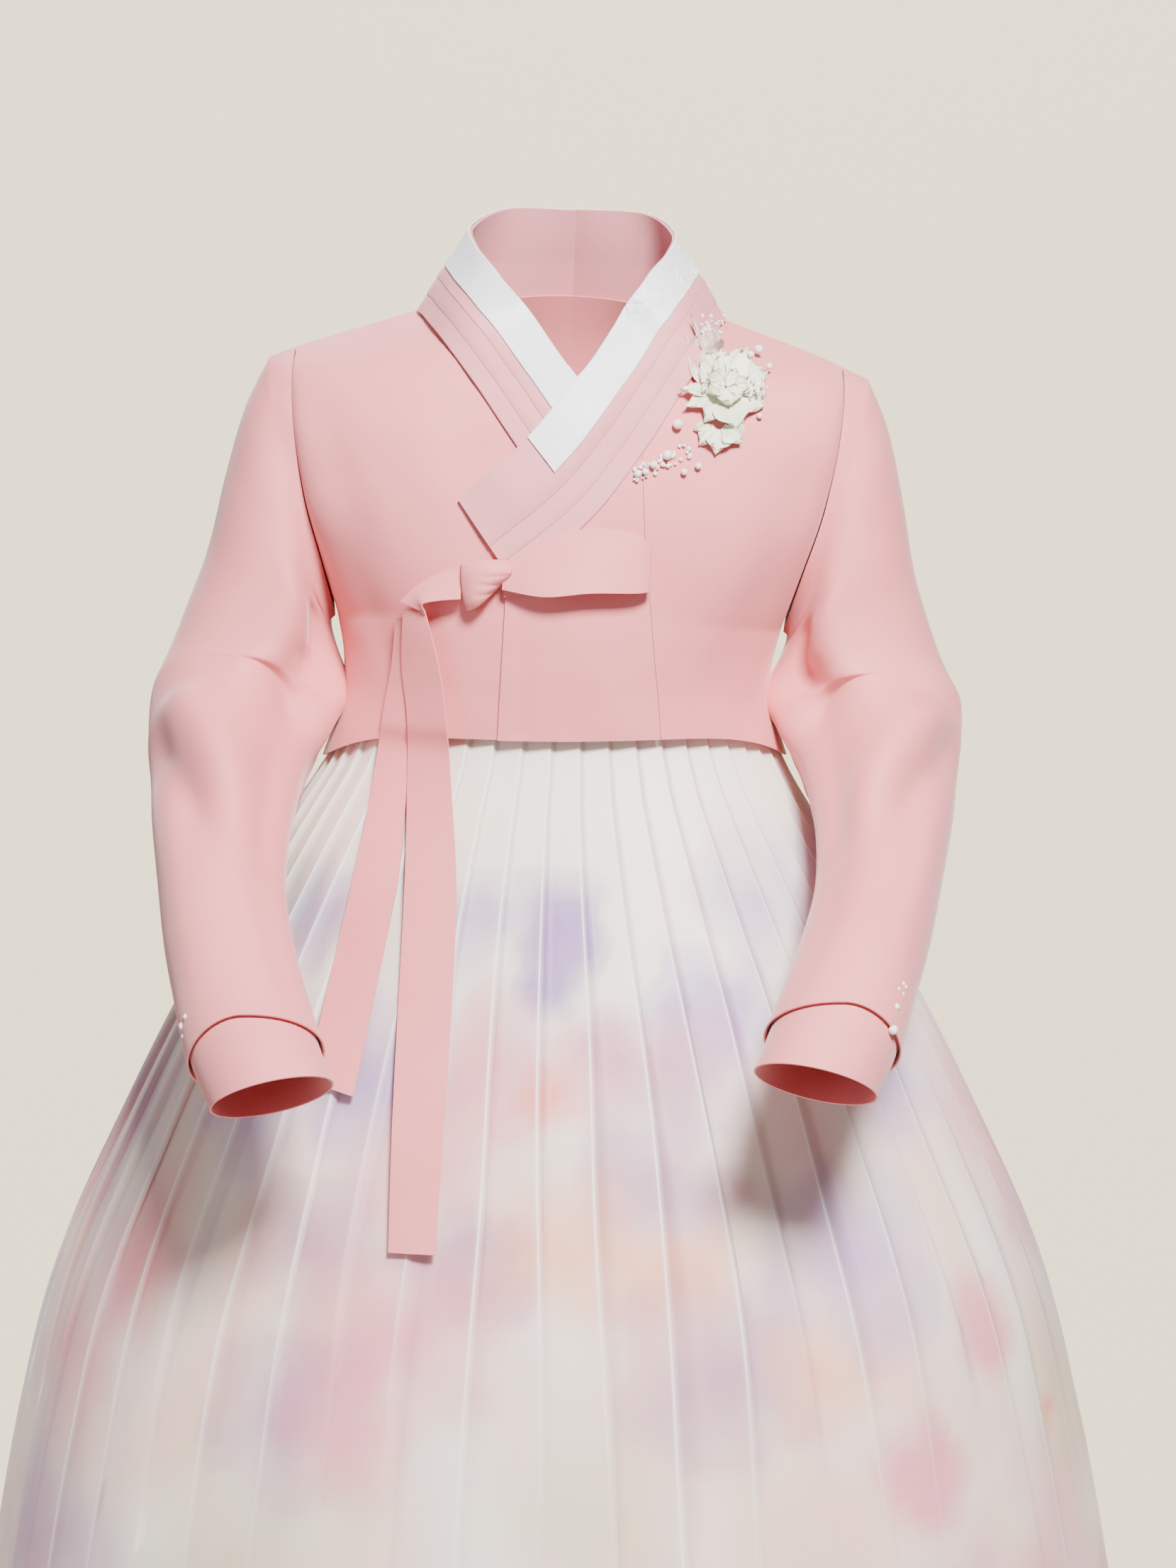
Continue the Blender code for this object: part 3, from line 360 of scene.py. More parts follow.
def print_with_painted_light(points, turns, fold_highlight, shade):
    """Colour of the printed cloth: pale ground, blossoms bled into it, painted shade beside the pressed folds
    and a painted highlight along them.
    """
    z = points[..., 2]
    wide = spline(SKIRT, 1, z)
    deep = np.where(np.sin(turns) < 0, spline(SKIRT, 2, z), spline(SKIRT, 3, z))
    girth = (wide + deep) / 2
    ground = np.array([0.94, 0.88, 0.79])
    colour = np.broadcast_to(ground, points.shape).copy()
    wash = np.sin(7 * turns + 9 * z + 2 * np.sin(3 * turns - 14 * z)) * np.sin(13 * z + 4 * np.cos(5 * turns))
    wash = 0.5 + 0.5 * wash
    low = soft(-z, 0.31, 0.38)
    washed = (0.5 * wash * soft(-z, 0.36, 0.52))[..., None]
    colour = colour * (1 - washed) + washed * np.array([0.78, 0.50, 0.58])
    cloud = np.sin(5 * turns - 11 * z + 1.6 * np.sin(4 * turns + 17 * z))
    cloud = 0.5 + 0.5 * cloud * np.cos(10 * z + 2.6 * np.sin(7 * turns))
    blush = (0.80 * cloud**1.1 * soft(-z, 0.44, 0.62))[..., None]
    colour = colour * (1 - blush) + blush * np.array([0.93, 0.52, 0.42])
    bleed = 0.10 * np.sin(9 * turns + 31 * z + 2.2 * np.sin(13 * turns - 23 * z)) + 0.07 * np.sin(
        37 * z - 16 * turns + 2.0 * np.sin(21 * turns + 41 * z))
    for n, (at, height, reach, ink, strength, petals) in enumerate(BLOOMS):
        across = ((np.degrees(turns) - at + 180) % 360 - 180) * math.pi / 180 * girth
        down = (z - height) * 1.05
        away = np.hypot(across, down) / reach
        near = away < 1.7
        if not near.any():
            continue
        angle = np.arctan2(down, across)
        edge = 0.92 + 0.22 * np.abs(np.sin(angle * petals / 2 + n * 1.7)) + bleed
        weight = 1 - soft(away / edge, 0.30, 1.18)
        rim = np.exp(-(((away / edge - 0.86) / 0.10) ** 2)) * 0.18
        heart = np.exp(-((away / 0.22) ** 2)) * 0.35
        amount = np.clip((weight * (0.85 + bleed) + rim + heart) * strength * 1.85, 0, 0.90)
        amount = np.where(near, amount * low, 0)[..., None]
        colour = colour * (1 - amount) + np.array(INKS[ink]) * amount
    # Painted shade beside each pressed fold, strongest in the upper skirt.
    colour = colour * (1 - 0.5 * shade[..., None] * np.array([0.9, 1.0, 0.85]))
    # Painted highlight along each pressed fold.
    highlight = fold_highlight[..., None]
    return colour * (1 - highlight) + np.array([1.0, 0.98, 0.95]) * highlight


def printed_organza_painted_light():
    """Sheer printed cloth: the blossoms are painted on the piece with painted shade and painted highlights at
    the pressed folds, with a crisp fine weave and a faint shine.
    """
    made = bpy.data.materials.new("printed_organza_painted_light")
    made.use_nodes = True
    nodes, links = made.node_tree.nodes, made.node_tree.links
    surface = nodes["Principled BSDF"]
    # Colour layer: the printed blossoms with painted shade and painted highlights at the pressed folds.
    ink = nodes.new("ShaderNodeVertexColor")
    ink.layer_name = "print_and_painted_light"
    place = nodes.new("ShaderNodeTexCoord")
    mottle = nodes.new("ShaderNodeTexNoise")
    mottle.inputs["Scale"].default_value = 26.0
    mottle.inputs["Detail"].default_value = 4.0
    links.new(place.outputs["Object"], mottle.inputs["Vector"])
    wash = nodes.new("ShaderNodeMix")
    wash.data_type = "RGBA"
    wash.blend_type = "SOFT_LIGHT"
    wash.inputs[0].default_value = 0.30
    links.new(ink.outputs["Color"], wash.inputs[6])
    links.new(mottle.outputs["Color"], wash.inputs[7])
    links.new(wash.outputs[2], surface.inputs["Base Color"])
    weave = nodes.new("ShaderNodeTexNoise")
    weave.inputs["Scale"].default_value = 900.0
    links.new(place.outputs["Object"], weave.inputs["Vector"])
    bump = nodes.new("ShaderNodeBump")
    bump.inputs["Strength"].default_value = 0.2
    bump.inputs["Distance"].default_value = 0.00005
    links.new(weave.outputs["Fac"], bump.inputs["Height"])
    links.new(bump.outputs["Normal"], surface.inputs["Normal"])
    surface.inputs["Roughness"].default_value = 0.5
    surface.inputs["Sheen Weight"].default_value = 0.3
    surface.inputs["Sheen Roughness"].default_value = 0.3
    surface.inputs["Alpha"].default_value = 0.74
    return made


skirt_rows = np.concatenate([np.linspace(-1.38, -0.60, 70), np.linspace(-0.592, -0.1728, 52)])
skirt_turn = np.array([(n + s) * 2 * math.pi / PLEATS for n in range(PLEATS) for s in PLEAT_SHARES])
pleat_share = np.array([s for n in range(PLEATS) for s in PLEAT_SHARES])
pleat_number = np.array([n for n in range(PLEATS) for s in PLEAT_SHARES])
knife = np.where(pleat_share < 0.85, pleat_share / 0.84, (1 - pleat_share) / 0.15)
rolled = 0.5 - 0.5 * np.cos(2 * math.pi * (pleat_share + 0.06 * np.sin(2.1 * pleat_number)))
# Painted highlight along each pressed fold line, fading out lower down at a height that varies from pleat to
# pleat.
fold_highlight_line = np.exp(-(((pleat_share - 0.835) / 0.022) ** 2))
line_length = 0.10 * np.sin(1.9 * pleat_number) + 0.08 * np.sin(0.7 * pleat_number + 1)
# Painted shadow beside each pressed fold: on the step under it and in the valley before it.
shadow_side = np.exp(-(((pleat_share - 0.93) / 0.05) ** 2)) + np.exp(-(((pleat_share - 0.0) / 0.05) ** 2))
skirt_grid, skirt_fold_highlight, skirt_painted_shade = [], [], []
for z in skirt_rows:
    open_share = soft(-z, 0.42, 0.76)
    broad = 0.5 + 0.3 * np.sin(11 * skirt_turn + 3 * z) + 0.2 * np.sin(17 * skirt_turn - 4 * z + 1)
    opened = 0.14 + 0.06 * rolled * (1 - soft(-z, 0.7, 1.0)) + 0.70 * broad
    level = knife * (1 - open_share) + opened * open_share
    sway = 0.0030 * soft(-z, 0.36, 0.60) * np.sin(1.7 * pleat_number + 11 * z)
    sway = sway / np.maximum(spline(SKIRT, 1, z), 0.1)
    skirt_grid.append(skirt_ring(z, skirt_turn + sway, level * spline(SKIRT, 4, z)))
    fade = 1 - soft(-z, 0.54 + line_length, 0.84 + line_length)
    skirt_fold_highlight.append(fold_highlight_line * 0.95 * fade)
    skirt_painted_shade.append(shadow_side * 0.45 * fade)
skirt_painted_shade = np.array(skirt_painted_shade)
skirt_grid, skirt_fold_highlight = np.array(skirt_grid), np.array(skirt_fold_highlight)
skirt_outer = sew("skirt_outer", "chima_outer", printed_organza_painted_light(), None, skirt_grid, True, sharp=70)
# The colour layer holds the printed blossoms with painted shade and painted highlights at the pressed folds.
print_and_light_layer = skirt_outer.data.color_attributes.new("print_and_painted_light", "FLOAT_COLOR", "POINT")
print_and_light_colours = print_with_painted_light(skirt_grid, np.broadcast_to(skirt_turn, skirt_grid.shape[:2]), skirt_fold_highlight, skirt_painted_shade)
print_and_light_colours = np.concatenate([print_and_light_colours, np.ones(print_and_light_colours.shape[:2] + (1,))], -1)
print_and_light_layer.data.foreach_set("color", print_and_light_colours.ravel())


# Chest band: a firm double strip of the lining cloth that both skirts are sewn into, under the jacket.
band_turn = np.arange(96) * 2 * math.pi / 96
band_grid = []
for share in np.linspace(0, 1, 6):
    hoop = skirt_ring(-0.1728, band_turn, np.full(96, -0.0005 - 0.002 * share))
    hoop[:, 2] = -0.1725 + 0.0525 * share
    band_grid.append(hoop)
band_grid = np.array(band_grid)
band_out = facing(band_grid, True)
skirt_band = sew("skirt_band", "chest_band", lining_cloth, band_grid - band_out * 0.0012,
                 band_grid + band_out * 0.0012, True)


# Jeogori body: the back in two halves with a centre seam, two fronts and the outer overlap (seop), cut
# in one soft satin-faced silk and joined with narrow pressed seams. The over front lies on the under one.
SEAM = 0.0003
silk = woven("rose_silk", (0.800, 0.262, 0.268), (0.735, 0.215, 0.228), cloud=7.0)
# v, half width, height at side, height at centre, depth at side, depth at centre, bend across, nape
FRONT = [
    (0.00, 0.1562, -0.3035, -0.2790, 0.010, -0.106, 6.0, 0.0),
    (0.12, 0.1450, -0.2700, -0.2540, 0.009, -0.109, 5.0, 0.0),
    (0.26, 0.1430, -0.2420, -0.2290, 0.005, -0.112, 3.0, 0.0),
    (0.42, 0.1480, -0.2120, -0.1950, 0.000, -0.113, 2.0, 0.0),
    (0.58, 0.1580, -0.1720, -0.1480, 0.000, -0.108, 1.6, 0.0),
    (0.74, 0.1710, -0.1250, -0.0980, 0.000, -0.096, 1.3, 0.0),
    (0.87, 0.1790, -0.0790, -0.0480, 0.000, -0.075, 1.1, 0.0),
    (0.95, 0.1812, -0.0510, -0.0060, 0.002, -0.045, 1.0, 0.0),
    (1.00, 0.1812, -0.0365, 0.0240, 0.004, 0.014, 1.0, 0.0),
]
BACK = [
    (0.00, 0.1562, -0.3035, -0.3035, 0.010, 0.102, 2.0, 0.0),
    (0.12, 0.1450, -0.2700, -0.2700, 0.009, 0.098, 2.0, 0.0),
    (0.26, 0.1430, -0.2420, -0.2400, 0.005, 0.097, 2.0, 0.0),
    (0.42, 0.1480, -0.2120, -0.2020, 0.000, 0.101, 2.0, 0.0),
    (0.58, 0.1580, -0.1720, -0.1540, 0.000, 0.105, 1.6, 0.0),
    (0.74, 0.1710, -0.1250, -0.1040, 0.000, 0.102, 1.3, 0.002),
    (0.87, 0.1790, -0.0790, -0.0520, 0.000, 0.086, 1.1, 0.008),
    (0.95, 0.1812, -0.0510, -0.0100, 0.002, 0.060, 1.0, 0.025),
    (1.00, 0.1812, -0.0365, 0.0240, 0.004, 0.014, 1.0, 0.056),
]
# v, how far the armhole's edge stands in front of and behind the side seam's line
ARMHOLE = [
    (0.42, 0.0000, 0.0000),
    (0.50, 0.0200, 0.0200),
    (0.58, 0.0360, 0.0360),
    (0.74, 0.0470, 0.0470),
    (0.87, 0.0410, 0.0430),
    (0.95, 0.0250, 0.0270),
    (1.00, 0.0000, 0.0000),
]


def body(rows, phi, v):
    """Point of the jacket's body and the way out of the cloth there."""

    def place(p, q):
        wide, side, mid = spline(rows, 1, q), spline(rows, 2, q), spline(rows, 3, q)
        at_mid, bend, nape = spline(rows, 5, q), spline(rows, 6, q), spline(rows, 7, q)
        if rows is FRONT:
            at_side = spline(FRONT, 4, q) - spline(ARMHOLE, 1, q)
        else:
            at_side = spline(FRONT, 4, q) + spline(ARMHOLE, 2, q)
        s, c = np.sin(p), np.cos(p)
        y = at_side + (at_mid - at_side) * c + nape * soft(c, 0.873, 1.0)
        return np.stack([wide * s, y, mid + (side - mid) * np.abs(s) ** bend], -1)

    phi, v = np.broadcast_arrays(np.asarray(phi, float), np.asarray(v, float))
    e = 1e-3
    across = place(phi + e, v) - place(phi - e, v)
    up = place(phi, np.minimum(v + e, 1)) - place(phi, np.maximum(v - e, 0))
    out = unit(np.cross(across, up))
    return place(phi, v), -out if rows is BACK else out


def find(rows, x, z):
    """phi and v of the body's point that shows at x and z from the front or back."""
    x, z = np.broadcast_arrays(np.asarray(x, float), np.asarray(z, float))
    low, high = np.zeros(x.shape), np.ones(x.shape)
    for _ in range(34):
        v = (low + high) / 2
        s = np.clip(x / spline(rows, 1, v), -1, 1)
        mid, side = spline(rows, 3, v), spline(rows, 2, v)
        here = mid + (side - mid) * np.abs(s) ** spline(rows, 6, v)
        low, high = np.where(here < z, v, low), np.where(here < z, high, v)
    v = (low + high) / 2
    return np.arcsin(np.clip(x / spline(rows, 1, v), -1, 1)), v


# The neck edge of each panel lies under the collar band. t, inner x, y, z, outer x, y, z
UNDER_RUN = [
    (0, -0.00001, 0.0580, 0.0590, -0.00001, 0.0870, -0.0020),
    (1, -0.0430, 0.0480, 0.0585, -0.0600, 0.0720, -0.0060),
    (2, -0.0650, 0.0130, 0.0460, -0.0960, 0.0160, -0.0110),
    (3, -0.0615, -0.0180, 0.0340, -0.0935, -0.0160, -0.0150),
    (4, -0.0480, -0.0450, 0.0190, -0.0810, -0.0470, -0.0270),
    (5, -0.0220, -0.0670, -0.0130, -0.0600, -0.0800, -0.0530),
    (6, 0.0062, -0.0800, -0.0478, -0.0380, -0.0930, -0.0820),
    (7, 0.0200, -0.0870, -0.0650, -0.0200, -0.0990, -0.1060),
]
OVER_RUN = [
    (0, 0.00001, 0.0580, 0.0590, 0.00001, 0.0870, -0.0020),
    (1, 0.0430, 0.0480, 0.0585, 0.0600, 0.0720, -0.0060),
    (2, 0.0620, 0.0130, 0.0460, 0.0960, 0.0160, -0.0110),
    (3, 0.0590, -0.0180, 0.0340, 0.0940, -0.0160, -0.0150),
    (4, 0.0470, -0.0450, 0.0190, 0.0860, -0.0470, -0.0320),
    (5, 0.0290, -0.0660, -0.0140, 0.0720, -0.0720, -0.0560),
    (6, 0.0062, -0.0800, -0.0478, 0.0510, -0.0900, -0.0900),
    (7, -0.0242, -0.0990, -0.0863, 0.0173, -0.1050, -0.1353),
    (8, -0.0671, -0.1060, -0.1263, -0.0299, -0.1090, -0.1760),
]


def seated(run):
    """The run with its outer edge put on the body, from the side of the neck forward and at the nape."""
    rows = []
    for t, ix, iy, iz, ox, oy, oz in run:
        if t >= 3:
            oy = float(body(FRONT, *find(FRONT, ox, oz))[0][1])
        elif t <= 1:
            oy = float(body(BACK, *find(BACK, ox, oz))[0][1])
        rows.append((t, ix, iy, iz, ox, oy, oz))
    return rows


UNDER_RUN, OVER_RUN = seated(UNDER_RUN), seated(OVER_RUN)


def band_point(run, t, f):
    """Point of the collar's ground: on the chest in front, standing free round the neck."""
    t, f = np.broadcast_arrays(np.asarray(t, float), np.asarray(f, float))
    inner = np.stack([spline(run, k, t) for k in (1, 2, 3)], -1)
    outer = np.stack([spline(run, k, t) for k in (4, 5, 6)], -1)
    point = inner * (1 - f[..., None]) + outer * f[..., None]
    front = body(FRONT, *find(FRONT, point[..., 0], point[..., 2]))[0][..., 1]
    share = soft(t, 4.2, 5.6)
    point[..., 1] = point[..., 1] * (1 - share) + front * share
    return point


NECK_SIDE = 0.0885


def neck_edge(run):
    t = np.linspace(2, run[-1][0], 60)
    point = band_point(run, t, np.full(t.shape, 0.72))
    order = np.argsort(point[:, 0])
    return lambda x: np.where(np.abs(x) > NECK_SIDE, 1.0, np.interp(x, point[order, 0], point[order, 2]))


over_neck, under_neck = neck_edge(OVER_RUN), neck_edge(UNDER_RUN)

# Soft creases of the worn jacket. from x, z, to x, z, width, depth (a minus sinks in)
CREASES = [
    (-0.168, -0.060, -0.118, -0.196, 0.016, -0.0030),
    (-0.156, -0.150, -0.098, -0.262, 0.015, -0.0032),
    (-0.140, -0.200, -0.080, -0.290, 0.012, 0.0018),
    (0.168, -0.080, 0.128, -0.196, 0.015, -0.0024),
    (0.150, -0.160, 0.100, -0.250, 0.015, -0.0022),
    (-0.110, -0.060, -0.060, -0.150, 0.020, 0.0014),
    (0.120, -0.100, 0.100, -0.190, 0.020, 0.0012),
    (-0.020, -0.215, -0.026, -0.290, 0.008, -0.0014),
    (0.010, -0.200, 0.050, -0.285, 0.016, 0.0010),
]


def creased(x, z):
    """How far the worn cloth stands out of, or sinks into, its even surface."""
    rise = np.zeros(np.shape(x))
    for x0, z0, x1, z1, wide, depth in CREASES:
        run = np.array([x1 - x0, z1 - z0])
        long = float(np.hypot(*run))
        run = run / long
        along = (x - x0) * run[0] + (z - z0) * run[1]
        off = (x - x0) * run[1] - (z - z0) * run[0]
        fade = soft(along, -0.02, 0.25 * long) * (1 - soft(along, 0.6 * long, 1.15 * long))
        rise = rise + depth * fade * np.exp(-((off / wide) ** 2))
    return rise


def phi_at(rows, x, v):
    return np.arcsin(np.clip(x / spline(rows, 1, v), -1, 1))


def panel(name, node, rows, line, neckline, cols, rows_n, lift, tuck):
    """Panel of the body. line(c, v) is phi at a share c across; the top stops at the neck edge."""
    c = np.linspace(0, 1, cols)
    low, high = np.full(cols, 0.25), np.ones(cols)
    ends = body(rows, line(c, np.ones(cols)), np.ones(cols))[0]
    free = ends[:, 2] <= neckline(ends[:, 0])
    for _ in range(34):
        mid = (low + high) / 2
        point = body(rows, line(c, mid), mid)[0]
        above = point[:, 2] > neckline(point[:, 0])
        low, high = np.where(above, low, mid), np.where(above, mid, high)
    top = np.where(free, 0.9999, low - 0.002)
    shares = np.linspace(0, 1, rows_n)
    v = shares[:, None] * top[None, :]
    grid_c = np.broadcast_to(c[None, :], v.shape)
    points, out = body(rows, line(grid_c, v), v)
    if rows is BACK:
        out[:, 0, 0] = 0
    rise = lift(grid_c) - tuck * soft(shares[:, None], 0.9, 1.0) * ~free[None, :]
    if rows is FRONT:
        edge = soft(shares[:, None], 0.0, 0.04) * (1 - soft(grid_c, 0.96, 1.0))
        rise = rise + creased(points[..., 0], points[..., 2]) * edge
    else:
        slack = np.sin(9 * points[..., 0] + 22 * points[..., 2]) * 0.0012
        slack = slack + 0.0010 * np.sin(30 * points[..., 2])
        inside = soft(np.abs(points[..., 0]), 0.01, 0.05) * (1 - soft(grid_c, 0.85, 1.0))
        inside = inside * soft(shares[:, None], 0.05, 0.3) * (1 - soft(shares[:, None], 0.8, 0.95))
        rise = rise + slack * inside
    out = unit(out)
    piece = sew(name, node, silk, points + out * (rise - CLOTH / 2)[..., None],
                points + out * (rise + CLOTH / 2)[..., None], False)
    return piece


SIDE = math.pi / 2 - 0.0015
OVER_LIFT = 0.0015


def seop_seam(v):
    return np.interp(v, (0, 0.42, 0.60, 1.0), (0.0685, 0.0590, 0.0530, 0.0440))


def seop_edge(v):
    return np.interp(v, (0, 0.42, 0.60, 1.0), (-0.0367, -0.0347, -0.0345, -0.0345))


panel("jacket_front_under", "front_right_under", FRONT,
      lambda c, v: phi_at(FRONT, 0.012, v) * (1 - c) - SIDE * c, under_neck, 64, 70,
      lambda c: -0.0008 * (1 - soft(c, 0.24, 0.37)), 0.0006)
panel("jacket_front_over", "front_left_over", FRONT,
      lambda c, v: phi_at(FRONT, seop_seam(v) + SEAM / 2, v) * (1 - c) + SIDE * c, over_neck, 44, 70,
      lambda c: OVER_LIFT * (1 - soft(c, 0.55, 1.0)), 0.0006)
panel("jacket_overlap", "seop_overlap", FRONT,
      lambda c, v: phi_at(FRONT, seop_edge(v) * (1 - c) + (seop_seam(v) - SEAM / 2) * c, v),
      over_neck, 34, 50,
      lambda c: OVER_LIFT + 0.0 * c, 0.0006)
for hand, side in (("right", -1), ("left", 1)):
    panel("jacket_back_" + hand, "back_" + hand, BACK,
          lambda c, v, side=side: phi_at(BACK, side * 0.00001, v) * (1 - c) + side * SIDE * c,
          lambda x: np.where(np.abs(x) > NECK_SIDE, 1.0, 0.005 - 0.012 * (x / NECK_SIDE) ** 2), 44, 64,
          lambda c: 0.0 * c, 0.0046)


# Git, the collar band: firm interfaced silk of a duller rose, sewn to the neck edge, with two stepped
# tucks beside it on each front. The under run passes beneath; the over run ends square on the chest.
collar_silk = woven("collar_silk", (0.740, 0.285, 0.310), (0.690, 0.250, 0.275), rough=0.62)
BAND = 0.062
# distance across the band, height of its outer face
TUCKS = [
    (0.0000, 0.0014),
    (0.0006, 0.0020),
    (0.0135, 0.0020),
    (0.0270, 0.0020),
    (0.0350, 0.0020),
    (0.03545, 0.0018),
    (0.0356, 0.0012),
    (0.0358, 0.0015),
    (0.0420, 0.0015),
    (0.0482, 0.0015),
    (0.04865, 0.0013),
    (0.0488, 0.0007),
    (0.0490, 0.0010),
    (0.0560, 0.0010),
    (0.0614, 0.0010),
    (0.0620, 0.0005),
]


def band_frame(run, t, f):
    e = 2e-3
    along = band_point(run, t + e, f) - band_point(run, t - e, f)
    across = band_point(run, t, f + e) - band_point(run, t, f - e)
    out = np.cross(along, across)
    out[..., 0] = np.where(t == 0, 0, out[..., 0])
    return band_point(run, t, f), unit(out) * (1 if run[0][1] > 0 else -1)


def collar_rise(t, f):
    return (0.0012 + 0.0016 * soft(t, 0.8, 1.6)) * (1 - soft(t, 4.2, 5.4)) * soft(f, 0.3, 0.6)


def crossing(t, f):
    """The over run rises where the under run passes below it."""
    along = soft(t, 5.0, 5.8) * (1 - soft(t, 7.5, 7.95))
    return collar_rise(t, f) + 0.0030 * along * (1 - soft(f, 0.35, 0.65))


def collar(name, node, run, last, ground, rise, finish, across):
    t = np.linspace(0, last, int(last * 14) + 1)[:, None]
    f = np.array([row[0] / BAND for row in across])[None, :]
    t, f = np.broadcast_arrays(t, f)
    point, out = band_frame(run, t, f)
    lift = (ground + rise(t, f))[..., None]
    height = np.array([row[1] for row in across])[None, :, None]
    piece = sew(name, node, finish, point + out * lift, point + out * (lift + height), False, sharp=32)
    return piece


collar("collar_under", "git_under", UNDER_RUN, 6.7, 0.0011, collar_rise, collar_silk, TUCKS)
collar("collar_over", "git_over", OVER_RUN, 8.0, 0.0024, crossing, collar_silk, TUCKS)


# Dongjeong: a stiff white strip of paper-backed silk slip-stitched along the collar's neck edge, with
# pale flowers embroidered on the wearer's left run.
def white_silk(name, flowers):
    made = woven(name, (0.80, 0.81, 0.87), (0.76, 0.77, 0.83), rough=0.42, sheen=0.1)
    if flowers:
        nodes, links = made.node_tree.nodes, made.node_tree.links
        surface, bump = nodes["Principled BSDF"], nodes["Bump"]
        place = nodes["Texture Coordinate"]
        petals = nodes.new("ShaderNodeTexVoronoi")
        petals.feature = "DISTANCE_TO_EDGE"
        petals.inputs["Scale"].default_value = 150.0
        links.new(place.outputs["Object"], petals.inputs["Vector"])
        patch = nodes.new("ShaderNodeTexNoise")
        patch.inputs["Scale"].default_value = 46.0
        links.new(place.outputs["Object"], patch.inputs["Vector"])
        where = nodes.new("ShaderNodeValToRGB")
        where.color_ramp.elements[0].position = 0.50
        where.color_ramp.elements[1].position = 0.56
        links.new(patch.outputs["Fac"], where.inputs["Fac"])
        high = nodes.new("ShaderNodeSeparateXYZ")
        links.new(place.outputs["Object"], high.inputs["Vector"])
        upper = nodes.new("ShaderNodeMapRange")
        upper.inputs[1].default_value = -0.012
        upper.inputs[2].default_value = 0.004
        links.new(high.outputs["Z"], upper.inputs[0])
        stitched = nodes.new("ShaderNodeMath")
        stitched.operation = "MULTIPLY"
        links.new(where.outputs["Color"], stitched.inputs[0])
        links.new(upper.outputs[0], stitched.inputs[1])
        mix = nodes.new("ShaderNodeMix")
        mix.data_type = "RGBA"
        links.new(stitched.outputs[0], mix.inputs[0])
        links.new(nodes["Color Ramp"].outputs["Color"], mix.inputs[6])
        mix.inputs[7].default_value = (0.95, 0.95, 0.97, 1)
        links.new(mix.outputs[2], surface.inputs["Base Color"])
        relief = nodes.new("ShaderNodeMath")
        relief.operation = "MULTIPLY"
        links.new(stitched.outputs[0], relief.inputs[0])
        links.new(petals.outputs["Distance"], relief.inputs[1])
        raised = nodes.new("ShaderNodeBump")
        raised.inputs["Strength"].default_value = 0.6
        raised.inputs["Distance"].default_value = 0.004
        links.new(relief.outputs[0], raised.inputs["Height"])
        links.new(bump.outputs["Normal"], raised.inputs["Normal"])
        links.new(raised.outputs["Normal"], surface.inputs["Normal"])
    return made


STRIP = [(0.0000, 0.0006), (0.0005, 0.0010), (0.0090, 0.0011), (0.0180, 0.0011), (0.0265, 0.0010),
         (0.0270, 0.0006)]
collar("neck_strip_under", "dongjeong_under", UNDER_RUN, 6.7, 0.0034, collar_rise,
       white_silk("white_silk_plain", False), STRIP)
collar("neck_strip_over", "dongjeong_over", OVER_RUN, 7.0, 0.0047, crossing,
       white_silk("white_silk_flowered", True), STRIP)


# Sleeves: set in at the armhole seams, roomy at the elbow and narrower at the wrist, worn with the
# forearm forward over the skirt. Each ends in a slanted hem over an inner cuff of the same silk.
# ring, outer x, y, z, inner x, y, z, half depth
ARM = [
    (1, 0.1985, 0.004, -0.0440, 0.1535, 0.000, -0.2165, 0.050),
    (2, 0.2135, 0.004, -0.0770, 0.1530, 0.000, -0.2230, 0.055),
    (3, 0.2255, 0.003, -0.1230, 0.1510, -0.001, -0.2310, 0.058),
    (4, 0.2360, 0.002, -0.1730, 0.1495, -0.004, -0.2420, 0.059),
    (5, 0.2510, 0.002, -0.2180, 0.1490, -0.010, -0.2550, 0.061),
    (6, 0.2630, 0.000, -0.2550, 0.1490, -0.022, -0.2700, 0.063),
    (7, 0.2680, -0.012, -0.2860, 0.1530, -0.044, -0.2850, 0.062),
    (8, 0.2665, -0.045, -0.3110, 0.1630, -0.076, -0.3020, 0.057),
    (9, 0.2600, -0.088, -0.3380, 0.1720, -0.112, -0.3270, 0.051),
    (10, 0.2510, -0.138, -0.3700, 0.1720, -0.158, -0.3590, 0.046),
    (11, 0.2420, -0.188, -0.4020, 0.1610, -0.206, -0.3920, 0.044),
    (12, 0.2310, -0.232, -0.4300, 0.1470, -0.250, -0.4210, 0.043),
    (13, 0.2240, -0.262, -0.4490, 0.1360, -0.280, -0.4410, 0.043),
    (14, 0.2130, -0.288, -0.4690, 0.1240, -0.304, -0.4600, 0.041),
]
# ring, turn, reach along, reach round, depth of each fold (turn 0 outside, 90 in front)
FOLDS = [
    (4.6, 144, 3.0, 22, -0.0140),
    (4.8, 108, 2.8, 15, 0.0065),
    (4.9, 179, 2.0, 16, 0.0130),
    (7.3, 200, 1.3, 46, -0.0080),
    (9.2, 156, 1.5, 20, -0.0060),
    (6.6, 24, 0.7, 30, 0.0024),
    (6.8, 268, 0.5, 50, 0.0036),
    (7.6, 284, 0.4, 50, -0.0044),
    (10.4, 60, 1.6, 16, 0.0018),
    (11.4, 140, 1.2, 16, -0.0026),
]
# Creases that run across the sleeve, standing out on their shoulder side and sunk on their cuff side.
# ring, turn at one end, ring, turn at the other, half width, depth
SLEEVE_CREASES = [
    (7.5, 34, 9.9, 122, 0.36, -0.0095),
    (5.6, 118, 7.4, 176, 0.24, -0.0040),
    (2.3, 118, 4.6, 152, 0.22, 0.0040),
    (6.3, 250, 7.2, 330, 0.24, 0.0036),
    (7.2, 210, 7.4, 300, 0.22, 0.0040),
]


